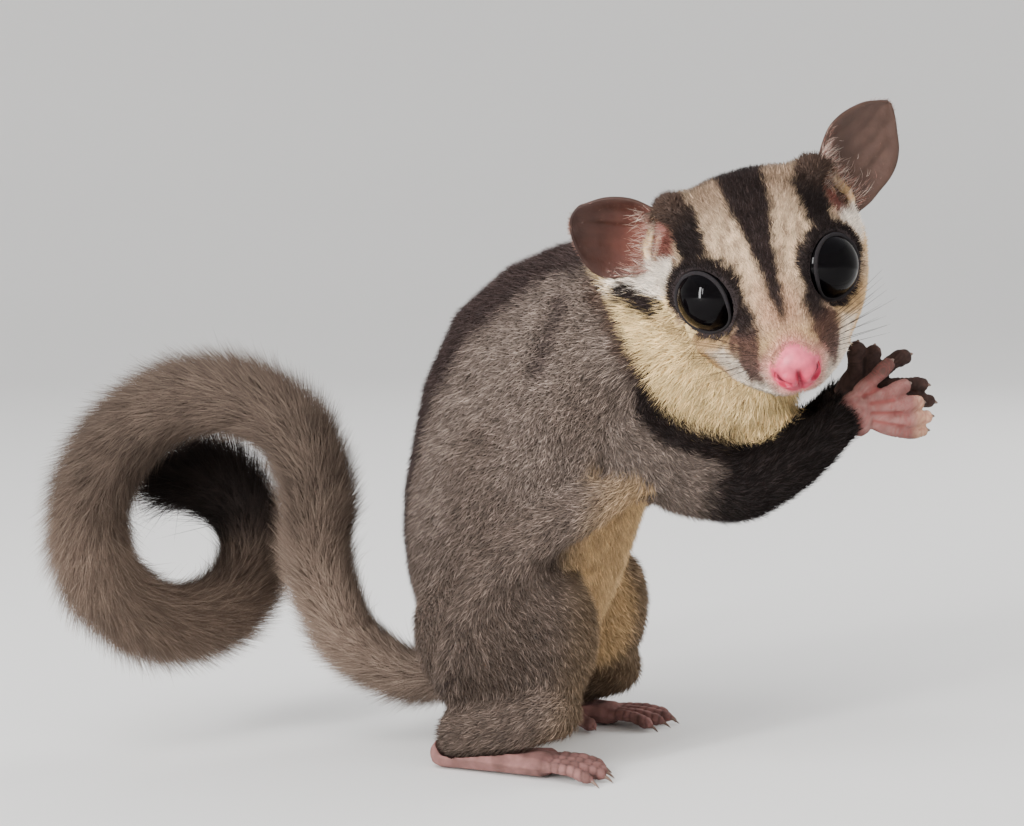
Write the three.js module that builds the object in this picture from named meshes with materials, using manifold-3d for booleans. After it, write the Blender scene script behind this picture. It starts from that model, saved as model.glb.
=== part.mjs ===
// A life-size sugar glider sitting hunched on its haunches, in millimetres, +Z up.
// It faces +X with its head turned to -Y, its hands held palm to palm before the chest,
// and its long tail rising behind it into a curl. The feet and the rump rest on Z = 0.

import * as THREE from 'three';
import { mergeVertices } from 'three/addons/utils/BufferGeometryUtils.js';
import Module from 'manifold-3d';

const wasm = await Module();
wasm.setup();

// Gap that touching parts keep, and the room that a later part leaves round an earlier one
const GAP = 0.3;
const WRIST_GAP = 0.5;

// Edges shorter than this are closed up where parts are joined or cut
const SHORTEST_EDGE = 0.1;

// The whole figure is moved by this much, so that its base is centred on the origin
const REST = { x: 3.3, y: -8.3 };

// Head: place of the point between the eyes, and its turns about X, Y and Z in degrees
const HEAD = { x: 35.7, y: -10, z: 70.8, nod: 23, tilt: -15.5, turn: -2.4 };

// Head profile from the muzzle (-Y) to the back of the skull (+Y): half width, top line,
// bottom line, and the height at which it is widest
const SKULL = {
  along: [-13.9, -12.5, -10.3, -7.7, -4.6, -1.0, 3.0, 7.5, 12.0, 16.0, 18.6],
  half: [2.9, 4.3, 5.8, 7.6, 9.6, 11.8, 13.8, 15.3, 15.8, 14.4, 10.8],
  top: [-4.7, -3.5, -2.2, -0.7, 1.9, 6.1, 9.8, 12.1, 12.7, 11.4, 8.4],
  bottom: [-9.6, -10.9, -11.7, -12.3, -12.9, -13.5, -14.0, -14.2, -13.6, -12.0, -9.0],
  level: [-7.2, -7.3, -7.2, -6.8, -5.9, -4.6, -3.2, -1.8, -0.8, -0.2, 0.2],
  square: 0.88,
};

// Eyes: half of the spacing, ball, opening and the angle that they look out to the side
const EYE = { half: 9.3, ball: 5.1, opening: 4.5, outward: 39, upward: 8, lid: 0.7 };

// Ears in the head's own frame: root, tip, the way that the cup faces, and how far the leaf
// reaches below and above its middle line, from root to tip
const EARS = {
  ear_right: {
    root: [-11.6, 11.6, 5.8],
    tip: [-24.6, 15.3, 8.2],
    face: [-0.12, -0.95, 0.2],
    low: [4.4, 4.8, 5.2, 5.6, 5.9, 5.9, 5.2, 3.6, -0.8],
    high: [3.2, 4.2, 5.1, 5.7, 6.0, 6.0, 5.6, 4.9, 2.6],
  },
  ear_left: {
    root: [11.6, 11.4, 6.2],
    tip: [23.3, 19.9, 13.5],
    face: [0.42, -0.9, 0.2],
    low: [3.4, 4.0, 4.7, 5.3, 5.4, 5.1, 4.2, 3.0, 0.7],
    high: [5.6, 6.3, 6.8, 7.0, 7.2, 6.9, 5.8, 3.9, 0.6],
  },
};

// Furred cuff that rises from the skull at the inner side of each ear
const CUFF = { middle: [10.2, 11.5, 8.6], sizes: [3.8, 3.4, 4.4] };

// Body: a point on the floor below it, its heading, and the keys of its middle line
const BODY = { x: 0, y: 17, heading: -17.2 };
const TORSO = {
  line: [[-4, 9], [-1.5, 18], [1, 30], [4, 42], [9, 54], [17, 61], [25, 64]],
  wide: [9.5, 16.5, 20, 20, 17.5, 15, 13.5],
  back: [6.5, 13, 18, 19.8, 21.5, 18.3, 14.5],
  front: [7.5, 13.5, 16.5, 17.5, 17, 16.5, 15.5],
};

// Tail: middle line and radius out to the ends of its coat
const TAIL = {
  line: [
    [-5, 18.6, 11], [-15, 18.8, 10.5], [-24, 17, 16], [-28.8, 14.5, 27], [-29.2, 12, 38.6],
    [-32.3, 10, 47.8], [-39.3, 8.5, 52.9], [-48.3, 7.5, 53.1], [-57, 6.5, 47.6], [-61.6, 6, 38.2],
    [-60.8, 7.5, 28], [-54.2, 12, 20.6], [-46, 18, 20.2], [-41.2, 22.5, 25.2], [-41.2, 24, 32.4],
    [-45.2, 22.8, 38.2], [-50.6, 20.6, 40],
  ],
  radius: [4.2, 5.0, 5.9, 6.4, 6.7, 6.9, 7.0, 7.1, 7.1, 7.2, 7.4, 7.4, 7.2, 6.9, 6.6, 6.2, 4.9],
};
// Lengths of the tail, and the places of the cuts between them along it
const TAIL_LENGTHS = ['tail_root', 'tail_rise', 'tail_bow', 'tail_outer', 'tail_under', 'tail_tip'];
const TAIL_CUTS = [0, 29.5, 57, 83, 109, 133.5, 155.8];

// Coat of the tail: flat locks that lie along it, in staggered rows round a core
const CORE = { share: 0.5, apart: 12, sides: 6, covers: 0.6 };
const LOCKS = {
  apart: 17,
  round: 5,
  long: [20, 24],
  wide: [3.4, 3.9],
  thick: 0.85,
  sunk: 1.6,
  reach: [0.98, 1.12],
  sway: 0.15,
  loose: 0.1,
  stagger: 0.5,
  along: [0, 0.38, 0.74, 1],
  fullness: [0.7, 1, 0.72, 0],
  rise: [0, 0.4, 0.76, 1],
  brush: 9,
  seed: 11,
};

const paint = (name, color, roughness) => new THREE.MeshStandardMaterial({ name, color, roughness, metalness: 0 });
const FINISH = {
  grey: paint('grey_fur', 0x78706a, 0.95),
  cream: paint('cream_fur', 0xd9c6a4, 0.95),
  dark: paint('dark_fur', 0x40332e, 0.95),
  brown: paint('tail_fur', 0x73604f, 0.95),
  skin: paint('pink_skin', 0xd3a09c, 0.6),
  nose: paint('nose_skin', 0xe08a96, 0.45),
  ear: paint('ear_skin', 0x74493f, 0.6),
  eye: paint('eye_gloss', 0x080808, 0.05),
};

const model = new THREE.Group();
const figure = new THREE.Group();
figure.position.set(REST.x, REST.y, 0);
model.add(figure);

// A value between evenly spaced keys, on a smooth curve through them
function between(keys, t) {
  const last = keys.length - 1;
  const at = THREE.MathUtils.clamp(t, 0, 1) * last;
  const i = Math.min(Math.floor(at), last - 1);
  const s = at - i;
  const before = keys[Math.max(i - 1, 0)];
  const after = keys[Math.min(i + 2, last)];
  const startSlope = (keys[i + 1] - before) / 2;
  const endSlope = (after - keys[i]) / 2;
  const s2 = s * s;
  const s3 = s2 * s;
  const rest = (2 * s3 - 3 * s2 + 1) * keys[i] + (3 * s2 - 2 * s3) * keys[i + 1];
  return rest + (s3 - 2 * s2 + s) * startSlope + (s3 - s2) * endSlope;
}

// Even draws from 0 to 1, the same ones for the same seed
function seededDraw(seed) {
  let state = seed;
  return () => {
    state = (state * 16807) % 2147483647;
    return state / 2147483647;
  };
}

// A closed geometry through rings of points, with a point at the middle of each end
function skinOver(rings) {
  const sides = rings[0].length;
  const points = rings.flat();
  const middle = (ring) => ring.reduce((sum, p) => sum.add(p), new THREE.Vector3()).divideScalar(sides);
  const start = points.length;
  points.push(middle(rings[0]), middle(rings[rings.length - 1]));
  const faces = [];
  for (let i = 0; i < rings.length - 1; i += 1) {
    for (let j = 0; j < sides; j += 1) {
      const a = i * sides + j;
      const b = i * sides + ((j + 1) % sides);
      faces.push(a, b, b + sides, a, b + sides, a + sides);
    }
  }
  const lastRing = (rings.length - 1) * sides;
  for (let j = 0; j < sides; j += 1) {
    const next = (j + 1) % sides;
    faces.push(start, next, j);
    faces.push(start + 1, lastRing + j, lastRing + next);
  }
  const geometry = new THREE.BufferGeometry().setFromPoints(points);
  geometry.setIndex(faces);
  return geometry;
}

// A solid from a closed geometry, turned the right way out
function solidOf(geometry) {
  const bare = geometry.index ? geometry.clone() : mergeVertices(geometry.clone());
  for (const name of Object.keys(bare.attributes)) {
    if (name !== 'position') {
      bare.deleteAttribute(name);
    }
  }
  const merged = mergeVertices(bare, 1e-4);
  const p = merged.attributes.position;
  const faces = Array.from(merged.index.array);
  const corner = [new THREE.Vector3(), new THREE.Vector3(), new THREE.Vector3()];
  const kept = [];
  let volume = 0;
  for (let i = 0; i < faces.length; i += 3) {
    const [a, b, c] = faces.slice(i, i + 3);
    if (a !== b && b !== c && c !== a) {
      kept.push(a, b, c);
      corner[0].fromBufferAttribute(p, a);
      corner[1].fromBufferAttribute(p, b);
      corner[2].fromBufferAttribute(p, c);
      volume += corner[0].dot(corner[1].cross(corner[2]));
    }
  }
  if (volume < 0) {
    for (let i = 0; i < kept.length; i += 3) {
      [kept[i + 1], kept[i + 2]] = [kept[i + 2], kept[i + 1]];
    }
  }
  const mesh = new wasm.Mesh({
    numProp: 3,
    vertProperties: new Float32Array(p.array),
    triVerts: new Uint32Array(kept),
    tolerance: SHORTEST_EDGE,
  });
  return new wasm.Manifold(mesh);
}

// The largest closed surface of a solid, as a geometry
function largestOf(solid) {
  let best = null;
  for (const piece of solid.decompose()) {
    if (!best || piece.volume() > best.volume()) {
      best = piece;
    }
  }
  const mesh = best.getMesh();
  const geometry = new THREE.BufferGeometry();
  geometry.setAttribute('position', new THREE.BufferAttribute(new Float32Array(mesh.vertProperties), 3));
  geometry.setIndex(Array.from(mesh.triVerts));
  geometry.computeVertexNormals();
  return geometry;
}

function addNode(name, solid, material) {
  const node = new THREE.Mesh(largestOf(solid), material);
  node.name = name;
  figure.add(node);
  return node;
}

const union = (solids) => solids.reduce((sum, solid) => sum.add(solid));
const without = (solid, others) => others.reduce((rest, other) => rest.subtract(other), solid);

// A rounded limb along a curve: half sizes across and deep at each key of its path
function limb(part, grow = 0) {
  const { path, wide, side, rings = 12, sides = 12, domes = [1, 1], domeSteps = [0.93, 0.6] } = part;
  const back = part.back || part.deep || wide;
  const front = part.front || back;
  const curve = new THREE.CatmullRomCurve3(path.map((p) => new THREE.Vector3(...p)), false, 'centripetal');
  const lateral = new THREE.Vector3(...(side || [0, 1, 0]));
  const made = [];
  const ringAt = (t, scale, push) => {
    const tangent = curve.getTangent(t).normalize();
    const across = lateral.clone().addScaledVector(tangent, -lateral.dot(tangent)).normalize();
    const outward = new THREE.Vector3().crossVectors(tangent, across).normalize();
    const centre = curve.getPoint(t).addScaledVector(tangent, push);
    const ring = [];
    for (let j = 0; j < sides; j += 1) {
      const angle = (2 * Math.PI * j) / sides;
      const depth = Math.sin(angle) > 0 ? between(back, t) : between(front, t);
      const point = centre.clone();
      point.addScaledVector(across, Math.cos(angle) * (between(wide, t) + grow) * scale);
      point.addScaledVector(outward, Math.sin(angle) * (depth + grow) * scale);
      ring.push(point);
    }
    made.push(ring);
  };
  for (const s of domes[0] > 0 ? domeSteps : []) {
    ringAt(0, Math.sqrt(1 - s * s), -s * (domes[0] + grow));
  }
  for (let i = 0; i <= rings; i += 1) {
    ringAt(i / rings, 1, 0);
  }
  for (const s of domes[1] > 0 ? [...domeSteps].reverse() : []) {
    ringAt(1, Math.sqrt(1 - s * s), s * (domes[1] + grow));
  }
  return solidOf(skinOver(made));
}

// An ellipsoid with its middle, half sizes and turns in degrees
function egg(middle, sizes, turns = [0, 0, 0], across = 16, up = 10) {
  const geometry = new THREE.SphereGeometry(1, across, up);
  geometry.scale(...sizes);
  const [a, b, c] = turns.map(THREE.MathUtils.degToRad);
  geometry.applyMatrix4(new THREE.Matrix4().makeRotationFromEuler(new THREE.Euler(a, b, c)));
  geometry.translate(...middle);
  return solidOf(geometry);
}

// Turns that carry the head's own frame to the figure's
const headTurn = new THREE.Matrix4()
  .makeRotationZ(THREE.MathUtils.degToRad(HEAD.turn))
  .multiply(new THREE.Matrix4().makeRotationY(THREE.MathUtils.degToRad(HEAD.tilt)))
  .multiply(new THREE.Matrix4().makeRotationX(THREE.MathUtils.degToRad(HEAD.nod)));
const headPlace = new THREE.Matrix4().makeTranslation(HEAD.x, HEAD.y, HEAD.z).multiply(headTurn);
const onHead = (solid) => solid.transform(headPlace.elements);

// The body's own frame: forward, to its left, and up
const heading = THREE.MathUtils.degToRad(BODY.heading);
const LEFTWARD = [-Math.sin(heading), Math.cos(heading), 0];
function bodyPoint(forward, left, up) {
  const x = BODY.x + forward * Math.cos(heading) - left * Math.sin(heading);
  const y = BODY.y + forward * Math.sin(heading) + left * Math.cos(heading);
  return [x, y, up];
}

// Point of the head's surface in its own frame, for a place along it and an angle round it
function skullPoint(t, angle, grow = 0) {
  const level = between(SKULL.level, t);
  const rise = Math.sin(angle) > 0 ? between(SKULL.top, t) - level : level - between(SKULL.bottom, t);
  const fuller = (value) => Math.sign(value) * Math.abs(value) ** SKULL.square;
  const x = fuller(Math.cos(angle)) * (between(SKULL.half, t) + grow);
  return new THREE.Vector3(x, between(SKULL.along, t), level + fuller(Math.sin(angle)) * (rise + grow));
}

function skullSolid(grow) {
  const sides = 22;
  const steps = 14;
  const rings = [];
  const cap = (t, push, scale) => {
    const middle = skullPoint(t, 0, grow).setX(0);
    const ring = [];
    for (let j = 0; j < sides; j += 1) {
      const point = skullPoint(t, (2 * Math.PI * j) / sides, grow);
      point.sub(middle).multiplyScalar(scale).add(middle);
      point.y += push;
      ring.push(point);
    }
    rings.push(ring);
  };
  cap(0, -1.0 - grow, 0.45);
  cap(0, -0.6 - grow, 0.8);
  for (let i = 0; i <= steps; i += 1) {
    cap(i / steps, 0, 1);
  }
  cap(1, 1.6 + grow, 0.8);
  cap(1, 2.6 + grow, 0.45);
  return solidOf(skinOver(rings));
}

// Eye opening: its middle, the way that it looks, and the middle of the ball behind it
function eyeFrame(sideSign) {
  const outward = THREE.MathUtils.degToRad(EYE.outward);
  const upward = THREE.MathUtils.degToRad(EYE.upward);
  const look = new THREE.Vector3(
    sideSign * Math.sin(outward),
    -Math.cos(outward) * Math.cos(upward),
    Math.cos(outward) * Math.sin(upward),
  ).normalize();
  const opening = new THREE.Vector3(sideSign * EYE.half, 0, 0);
  const sunk = Math.sqrt(EYE.ball ** 2 - EYE.opening ** 2);
  return { look, opening, ball: opening.clone().addScaledVector(look, -sunk) };
}

function eyeBall(sideSign, grow) {
  const { look, ball } = eyeFrame(sideSign);
  const geometry = new THREE.SphereGeometry(EYE.ball + grow, 14, 9);
  geometry.rotateX(Math.PI / 2);
  const turn = new THREE.Quaternion().setFromUnitVectors(new THREE.Vector3(0, 0, 1), look);
  geometry.applyQuaternion(turn);
  geometry.translate(ball.x, ball.y, ball.z);
  return solidOf(geometry);
}

// Lids: a soft rim all round the opening, resting on the ball
function lidRim(sideSign, grow = 0) {
  const { look, opening } = eyeFrame(sideSign);
  const geometry = new THREE.TorusGeometry(EYE.opening + 0.4, EYE.lid + grow, 5, 18);
  const turn = new THREE.Quaternion().setFromUnitVectors(new THREE.Vector3(0, 0, 1), look);
  geometry.applyQuaternion(turn);
  geometry.translate(opening.x, opening.y, opening.z);
  return solidOf(geometry);
}

// Line of the mouth from below the nose to its corner, on one side of the muzzle
function mouthLine(sideSign, lift) {
  const keys = [[0.02, -82], [0.09, -60], [0.17, -46], [0.26, -38], [0.34, -34], [0.41, -33]];
  return keys.map(([t, degrees]) => {
    const down = THREE.MathUtils.degToRad(degrees + lift);
    const point = skullPoint(t, down);
    return [sideSign * point.x, point.y, point.z];
  });
}

function mouthTube(sideSign, lift, radius) {
  const path = mouthLine(sideSign, lift);
  const size = path.map(() => radius);
  size[size.length - 1] = radius * 0.5;
  return limb({ path, wide: size, deep: size, rings: 6, sides: 4, side: [0, 0, 1], domes: [0.4, 0.3], domeSteps: [0.7] });
}

// Skull with its lids and lips, before the sockets and the mouth are cut
function headMass(grow) {
  const sides = [-1, 1];
  const rims = sides.map((s) => lidRim(s, grow));
  const lips = sides.flatMap((s) => [mouthTube(s, 7, 0.75 + grow), mouthTube(s, -8, 0.7 + grow)]);
  const [x, y, z] = CUFF.middle;
  const cuffs = sides.map((s) => egg([s * x, y, z], CUFF.sizes.map((size) => size + grow), [0, 0, 0], 9, 6));
  return union([skullSolid(grow), ...rims, ...lips, ...cuffs]);
}

function buildHead() {
  const sides = [-1, 1];
  const mouth = sides.map((s) => mouthTube(s, 0, 0.42));
  const sockets = sides.map((s) => eyeBall(s, GAP));
  return onHead(without(headMass(0), [...sockets, ...mouth]));
}

// Nose: a rounded pad of two lobes with a nostril in each and a groove between them
function buildNose() {
  const pad = egg([0, -13.9, -5.5], [3.4, 2.6, 2.7], [18, 0, 0], 12, 8);
  const lobes = [-1, 1].map((s) => egg([s * 1.4, -14.7, -7.0], [1.95, 2.0, 1.75], [0, 0, 0], 9, 7));
  const nostrils = [-1, 1].map((s) => egg([s * 2.05, -16.5, -7.5], [0.85, 0.9, 0.5], [0, s * -35, 0], 8, 6));
  const groove = egg([0, -17.0, -7.6], [0.3, 0.9, 2.4], [-8, 0, 0], 6, 6);
  return onHead(without(union([pad, ...lobes]), [...nostrils, groove, headMass(GAP)]));
}

// Ear: a thin cupped leaf, deepest near its root, with its edges turned towards the opening
function earLeaf(ear, grow) {
  const base = new THREE.Vector3(...ear.root);
  const axis = new THREE.Vector3(...ear.tip).sub(base);
  const length = axis.length();
  axis.normalize();
  const facing = new THREE.Vector3(...ear.face);
  facing.addScaledVector(axis, -facing.dot(axis)).normalize();
  const across = new THREE.Vector3().crossVectors(axis, facing).normalize();
  const cups = [3.9, 3.9, 3.5, 2.9, 2.3, 1.7, 1.1, 0.6, 0.2];
  const rows = 9;
  const columns = 8;
  const rings = [];
  for (let i = 0; i <= rows; i += 1) {
    const t = i / rows;
    const low = between(ear.low, t) + grow;
    const reach = low + between(ear.high, t) + grow;
    const cup = between(cups, t);
    const thick = 0.95 - 0.35 * t;
    const row = (offset, from, to, step) => {
      const made = [];
      for (let j = from; j !== to; j += step) {
        const u = (2 * j) / columns - 1;
        const deep = cup * (1 - u * u) + offset * (1 - 0.35 * u * u);
        const point = base.clone().addScaledVector(axis, (length + grow) * t);
        point.addScaledVector(across, (reach * (u + 1)) / 2 - low).addScaledVector(facing, 1.2 - deep);
        made.push(point);
      }
      return made;
    };
    rings.push([...row(-grow, 0, columns + 1, 1), ...row(thick + grow, columns, -1, -1)]);
  }
  return solidOf(skinOver(rings));
}

function earMass(ear, grow = 0) {
  const [x, y, z] = ear.root;
  const stem = egg([x, y + 1.4, z], [3.4 + grow, 3.0 + grow, 3.4 + grow], [0, 0, 0], 10, 7);
  return earLeaf(ear, grow).add(stem);
}

// Neck: a thick furred collar that bends from the body to the turned head
const NECK = {
  path: [[16, 12, 58], [22.5, 8, 60.3], [28.5, 4.4, 62.8], [34, 1.2, 65.6]],
  wide: [14.5, 14.5, 13.5, 11],
  back: [15.5, 15, 13.5, 11],
  front: [15.5, 16, 15, 11.5],
  rings: 5,
  sides: 18,
  domes: [3, 3],
};

// Breast below the throat, in front of the shoulders
const BREAST = { middle: [33, 0.5, 56], sizes: [9.2, 8, 9] };

function neckMass(grow = 0) {
  const breast = egg(BREAST.middle, BREAST.sizes.map((size) => size + grow), [0, 0, 0], 12, 7);
  return limb(NECK, grow).add(breast);
}

const torsoPart = {
  path: TORSO.line.map(([forward, up]) => bodyPoint(forward, 0, up)),
  wide: TORSO.wide,
  back: TORSO.back,
  front: TORSO.front,
  side: LEFTWARD,
  rings: 12,
  sides: 20,
  domes: [5, 8],
  domeSteps: [0.95, 0.75, 0.42],
};

// Limbs on one side: left is +1 and right is -1
const ARMS = {
  right: {
    upper: [[18, 2, 49.5], [25, -1.5, 43.8], [32.5, -4.2, 41.3]],
    fore: [[32.5, -4.6, 41.3], [40, -6.2, 45.6], [48, -5.6, 52.6]],
  },
  left: {
    upper: [[25.5, 20, 50], [32, 18, 46], [38, 14, 43.5]],
    fore: [[38, 14, 43.5], [44, 8, 48], [48.2, 0.8, 54.6]],
  },
};

const upperArm = (name) => ({
  path: ARMS[name].upper,
  wide: [7.5, 6.6, 5.4],
  deep: [8, 7, 5.6],
  rings: 6,
  sides: 14,
  domes: [5, 4],
});

const foreArm = (name) => ({
  path: ARMS[name].fore,
  wide: [5.0, 4.3, 3.1],
  deep: [5.2, 4.4, 3.3],
  rings: 6,
  sides: 12,
  domes: [4, 0],
});

const thigh = (s) => ({
  path: [bodyPoint(-4, s * 12.5, 17), bodyPoint(3, s * 14.5, 20), bodyPoint(12, s * 15, 19)],
  wide: [7.5, 8.8, 7.0],
  deep: [11, 13.2, 10.4],
  side: LEFTWARD,
  rings: 6,
  sides: 14,
  domes: [7, 6],
  domeSteps: [0.95, 0.75, 0.42],
});

const shin = (s) => ({
  path: [bodyPoint(12, s * 17.5, 10.5), bodyPoint(5, s * 18, 7.2), bodyPoint(-3.5, s * 17.6, 4.8)],
  wide: [5.2, 4.7, 3.9],
  deep: [5.6, 4.8, 3.9],
  side: LEFTWARD,
  rings: 5,
  sides: 12,
  domes: [4, 2.5],
});

const sole = (s) => ({
  path: [bodyPoint(-5, s * 17.6, 2.1), bodyPoint(3, s * 18, 2.0), bodyPoint(11, s * 18.6, 1.7)],
  wide: [2.6, 3.6, 4.1],
  deep: [2.3, 2.1, 1.8],
  side: LEFTWARD,
  rings: 4,
  sides: 8,
  domes: [2, 1.5],
});

// A digit with its soft pad, and the curved claw at its end
function digit(base, middle, tip, radius, drop) {
  const path = [base, middle, tip];
  const finger = limb({
    path,
    wide: [radius, radius * 0.92, radius * 1.05],
    deep: [radius, radius * 0.92, radius * 1.0],
    side: [0.05, 1, 0.08],
    rings: 3,
    sides: 6,
    domes: [0, 1.1],
    domeSteps: [0.75],
  });
  const from = new THREE.Vector3(...middle);
  const end = new THREE.Vector3(...tip);
  const ahead = end.clone().sub(from).normalize();
  const hook = end.clone().addScaledVector(ahead, 1.2);
  const point = end.clone().addScaledVector(ahead, 1.8);
  point.z -= drop;
  const claw = limb({
    path: [end.toArray(), hook.toArray(), point.toArray()],
    wide: [0.5, 0.42, 0.14],
    deep: [0.62, 0.5, 0.16],
    side: [0.05, 1, 0.08],
    rings: 2,
    sides: 3,
    domes: [0, 0],
  });
  return finger.add(claw);
}

const HANDS = {
  right: {
    palm: [[47.6, -5.4, 52.8], [50.4, -5.1, 53.6], [53.2, -4.9, 53.2]],
    wide: [2.0, 2.0, 1.6],
    deep: [3.0, 4.0, 3.7],
    digits: [
      [[48.9, -5.3, 55.2], [51.1, -5.6, 57.3], [53.2, -5.0, 59.3]],
      [[50.5, -5.6, 54.6], [53.1, -6.1, 55.3], [55.5, -5.3, 56.3]],
      [[50.7, -5.7, 53.2], [54.5, -6.3, 53.6], [57.4, -5.4, 53.9]],
      [[50.9, -5.5, 51.8], [55.3, -6.0, 51.5], [58.8, -5.0, 51.9]],
      [[51.3, -5.0, 50.9], [55.3, -5.2, 49.7], [58.3, -4.5, 49.9]],
    ],
  },
  left: {
    palm: [[47.8, -0.2, 55.0], [50.2, -0.8, 56.4], [52.8, -1.1, 56.2]],
    wide: [2.0, 1.7, 1.4],
    deep: [3.0, 3.4, 3.2],
    digits: [
      [[49.6, -0.9, 57.0], [49.2, -1.2, 59.8], [49.4, -1.0, 61.4]],
      [[50.9, -0.9, 57.6], [51.6, -1.3, 60.0], [51.8, -1.0, 61.0]],
      [[52.1, -0.9, 57.4], [54.5, -1.3, 59.5], [56.2, -1.1, 60.2]],
      [[52.5, -0.9, 56.0], [56.7, -1.2, 56.3], [58.9, -0.9, 56.2]],
      [[52.5, -0.9, 54.6], [57.1, -1.2, 54.2], [59.9, -0.9, 53.8]],
    ],
  },
};

function buildHand(name) {
  const hand = HANDS[name];
  const { palm: path, wide, deep } = hand;
  const palm = limb({ path, wide, deep, rings: 3, sides: 10, domes: [1.2, 1.6], domeSteps: [0.75] });
  const digits = hand.digits.map(([base, middle, tip]) => digit(base, middle, tip, 1.05, 0.5));
  return union([palm, ...digits]);
}

// Foot: sole, four long toes and the thumb-like inner toe, flat on the floor
function buildFoot(s) {
  const toes = [-1.5, -0.5, 0.5, 1.5].map((place, i) => {
    const spread = place * 2.3;
    const reach = 19.5 - 1.1 * Math.abs(place - 0.3);
    const base = bodyPoint(10, s * (18.6 + spread * 0.75), 1.7);
    const middle = bodyPoint(14.5, s * (18.8 + spread), 2.1);
    const tip = bodyPoint(reach, s * (19 + spread * 1.25), 1.2);
    return digit(base, middle, tip, 1.1 - 0.04 * i, 0.7);
  });
  const inner = digit(
    bodyPoint(4, s * 16, 1.7),
    bodyPoint(7, s * 13, 1.6),
    bodyPoint(9.5, s * 10.8, 1.2),
    1.15,
    0.5,
  );
  return union([limb(sole(s)), ...toes, inner]);
}

// Gliding membrane: the loose fold of furred skin from the elbow to the ankle
const membrane = (s) => ({
  path: [
    bodyPoint(24, s * 14.5, 43),
    bodyPoint(16, s * 17, 38),
    bodyPoint(7, s * 20, 32.5),
    bodyPoint(0, s * 21.4, 23),
    bodyPoint(-3.5, s * 20.2, 12),
  ],
  wide: [2.0, 2.4, 2.4, 2.4, 2.0],
  deep: [2.6, 3.6, 4.0, 3.6, 2.6],
  side: LEFTWARD,
  rings: 8,
  sides: 8,
  domes: [2, 2],
});

// All that would reach below the floor
function belowFloor() {
  const size = 400;
  const box = new THREE.BoxGeometry(size, size, size);
  box.translate(0, 0, -size / 2);
  return solidOf(box);
}

// Middle line of the tail, and its frame at a distance along it, carried straight on past its end
const tailLine = new THREE.CatmullRomCurve3(TAIL.line.map((p) => new THREE.Vector3(...p)), false, 'centripetal');
const tailReach = tailLine.getLength();
function tailFrame(distance) {
  const inside = THREE.MathUtils.clamp(distance, 0, tailReach);
  const t = tailLine.getUtoTmapping(0, inside);
  const tangent = tailLine.getTangent(t).normalize();
  const centre = tailLine.getPoint(t).addScaledVector(tangent, distance - inside);
  const across = new THREE.Vector3(0, 1, 0);
  across.addScaledVector(tangent, -across.dot(tangent)).normalize();
  const outward = new THREE.Vector3().crossVectors(tangent, across);
  const closing = Math.max(1 - Math.max(distance - tailReach, 0) / LOCKS.brush, 0.12);
  return { centre, tangent, across, outward, radius: between(TAIL.radius, t) * closing };
}

function roundTail({ centre, across, outward }, angle, radius) {
  const point = centre.clone().addScaledVector(across, Math.cos(angle) * radius);
  return point.addScaledVector(outward, Math.sin(angle) * radius);
}

function tailCore(from, to) {
  const steps = Math.ceil((to - from) / CORE.apart);
  const rings = [];
  for (let i = 0; i <= steps; i += 1) {
    const frame = tailFrame(from + ((to - from) * i) / steps);
    const ring = [];
    for (let j = 0; j < CORE.sides; j += 1) {
      ring.push(roundTail(frame, (2 * Math.PI * j) / CORE.sides, frame.radius * CORE.share));
    }
    rings.push(ring);
  }
  return solidOf(skinOver(rings));
}

// A lock from its root in the core to its tip: two faces that meet at thin edges and bend with the tail
function tailLock({ root, angle, long, wide, reach, sway }) {
  const start = tailFrame(root).radius * CORE.share - LOCKS.sunk;
  const rings = LOCKS.along.map((s, i) => {
    const frame = tailFrame(root + long * s);
    const radius = start + (frame.radius * reach - start) * LOCKS.rise[i];
    const turned = angle + sway * s;
    const half = (wide * LOCKS.fullness[i]) / Math.max(radius, wide);
    const thick = LOCKS.thick * LOCKS.fullness[i];
    return [
      roundTail(frame, turned - half, radius),
      roundTail(frame, turned, radius + thick),
      roundTail(frame, turned + half, radius),
      roundTail(frame, turned, radius - thick),
    ];
  });
  return solidOf(skinOver(rings));
}

// Sizes and places of all the locks, drawn once in order from the root of the tail
function allLocks() {
  const draw = seededDraw(LOCKS.seed);
  const within = ([low, high]) => low + (high - low) * draw();
  const locks = [];
  const rows = Math.floor(tailReach / LOCKS.apart);
  for (let row = 0; row <= rows; row += 1) {
    for (let k = 0; k < LOCKS.round; k += 1) {
      locks.push({
        root: (row + LOCKS.stagger * draw()) * LOCKS.apart,
        angle: (2 * Math.PI * (k + LOCKS.stagger * (row % 2) + LOCKS.loose * draw())) / LOCKS.round,
        long: within(LOCKS.long),
        wide: within(LOCKS.wide),
        reach: within(LOCKS.reach),
        sway: LOCKS.sway * (2 * draw() - 1),
      });
    }
  }
  return locks;
}

// A block that starts at a distance along the tail and lies on one side of the cut there
function tailBlock(distance, side) {
  const { centre, tangent } = tailFrame(distance);
  const long = LOCKS.long[1];
  const block = new THREE.BoxGeometry(long, long, long);
  block.translate(0, 0, side * (long / 2 - GAP / 2));
  block.applyQuaternion(new THREE.Quaternion().setFromUnitVectors(new THREE.Vector3(0, 0, 1), tangent));
  block.translate(centre.x, centre.y, centre.z);
  return solidOf(block);
}

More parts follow.
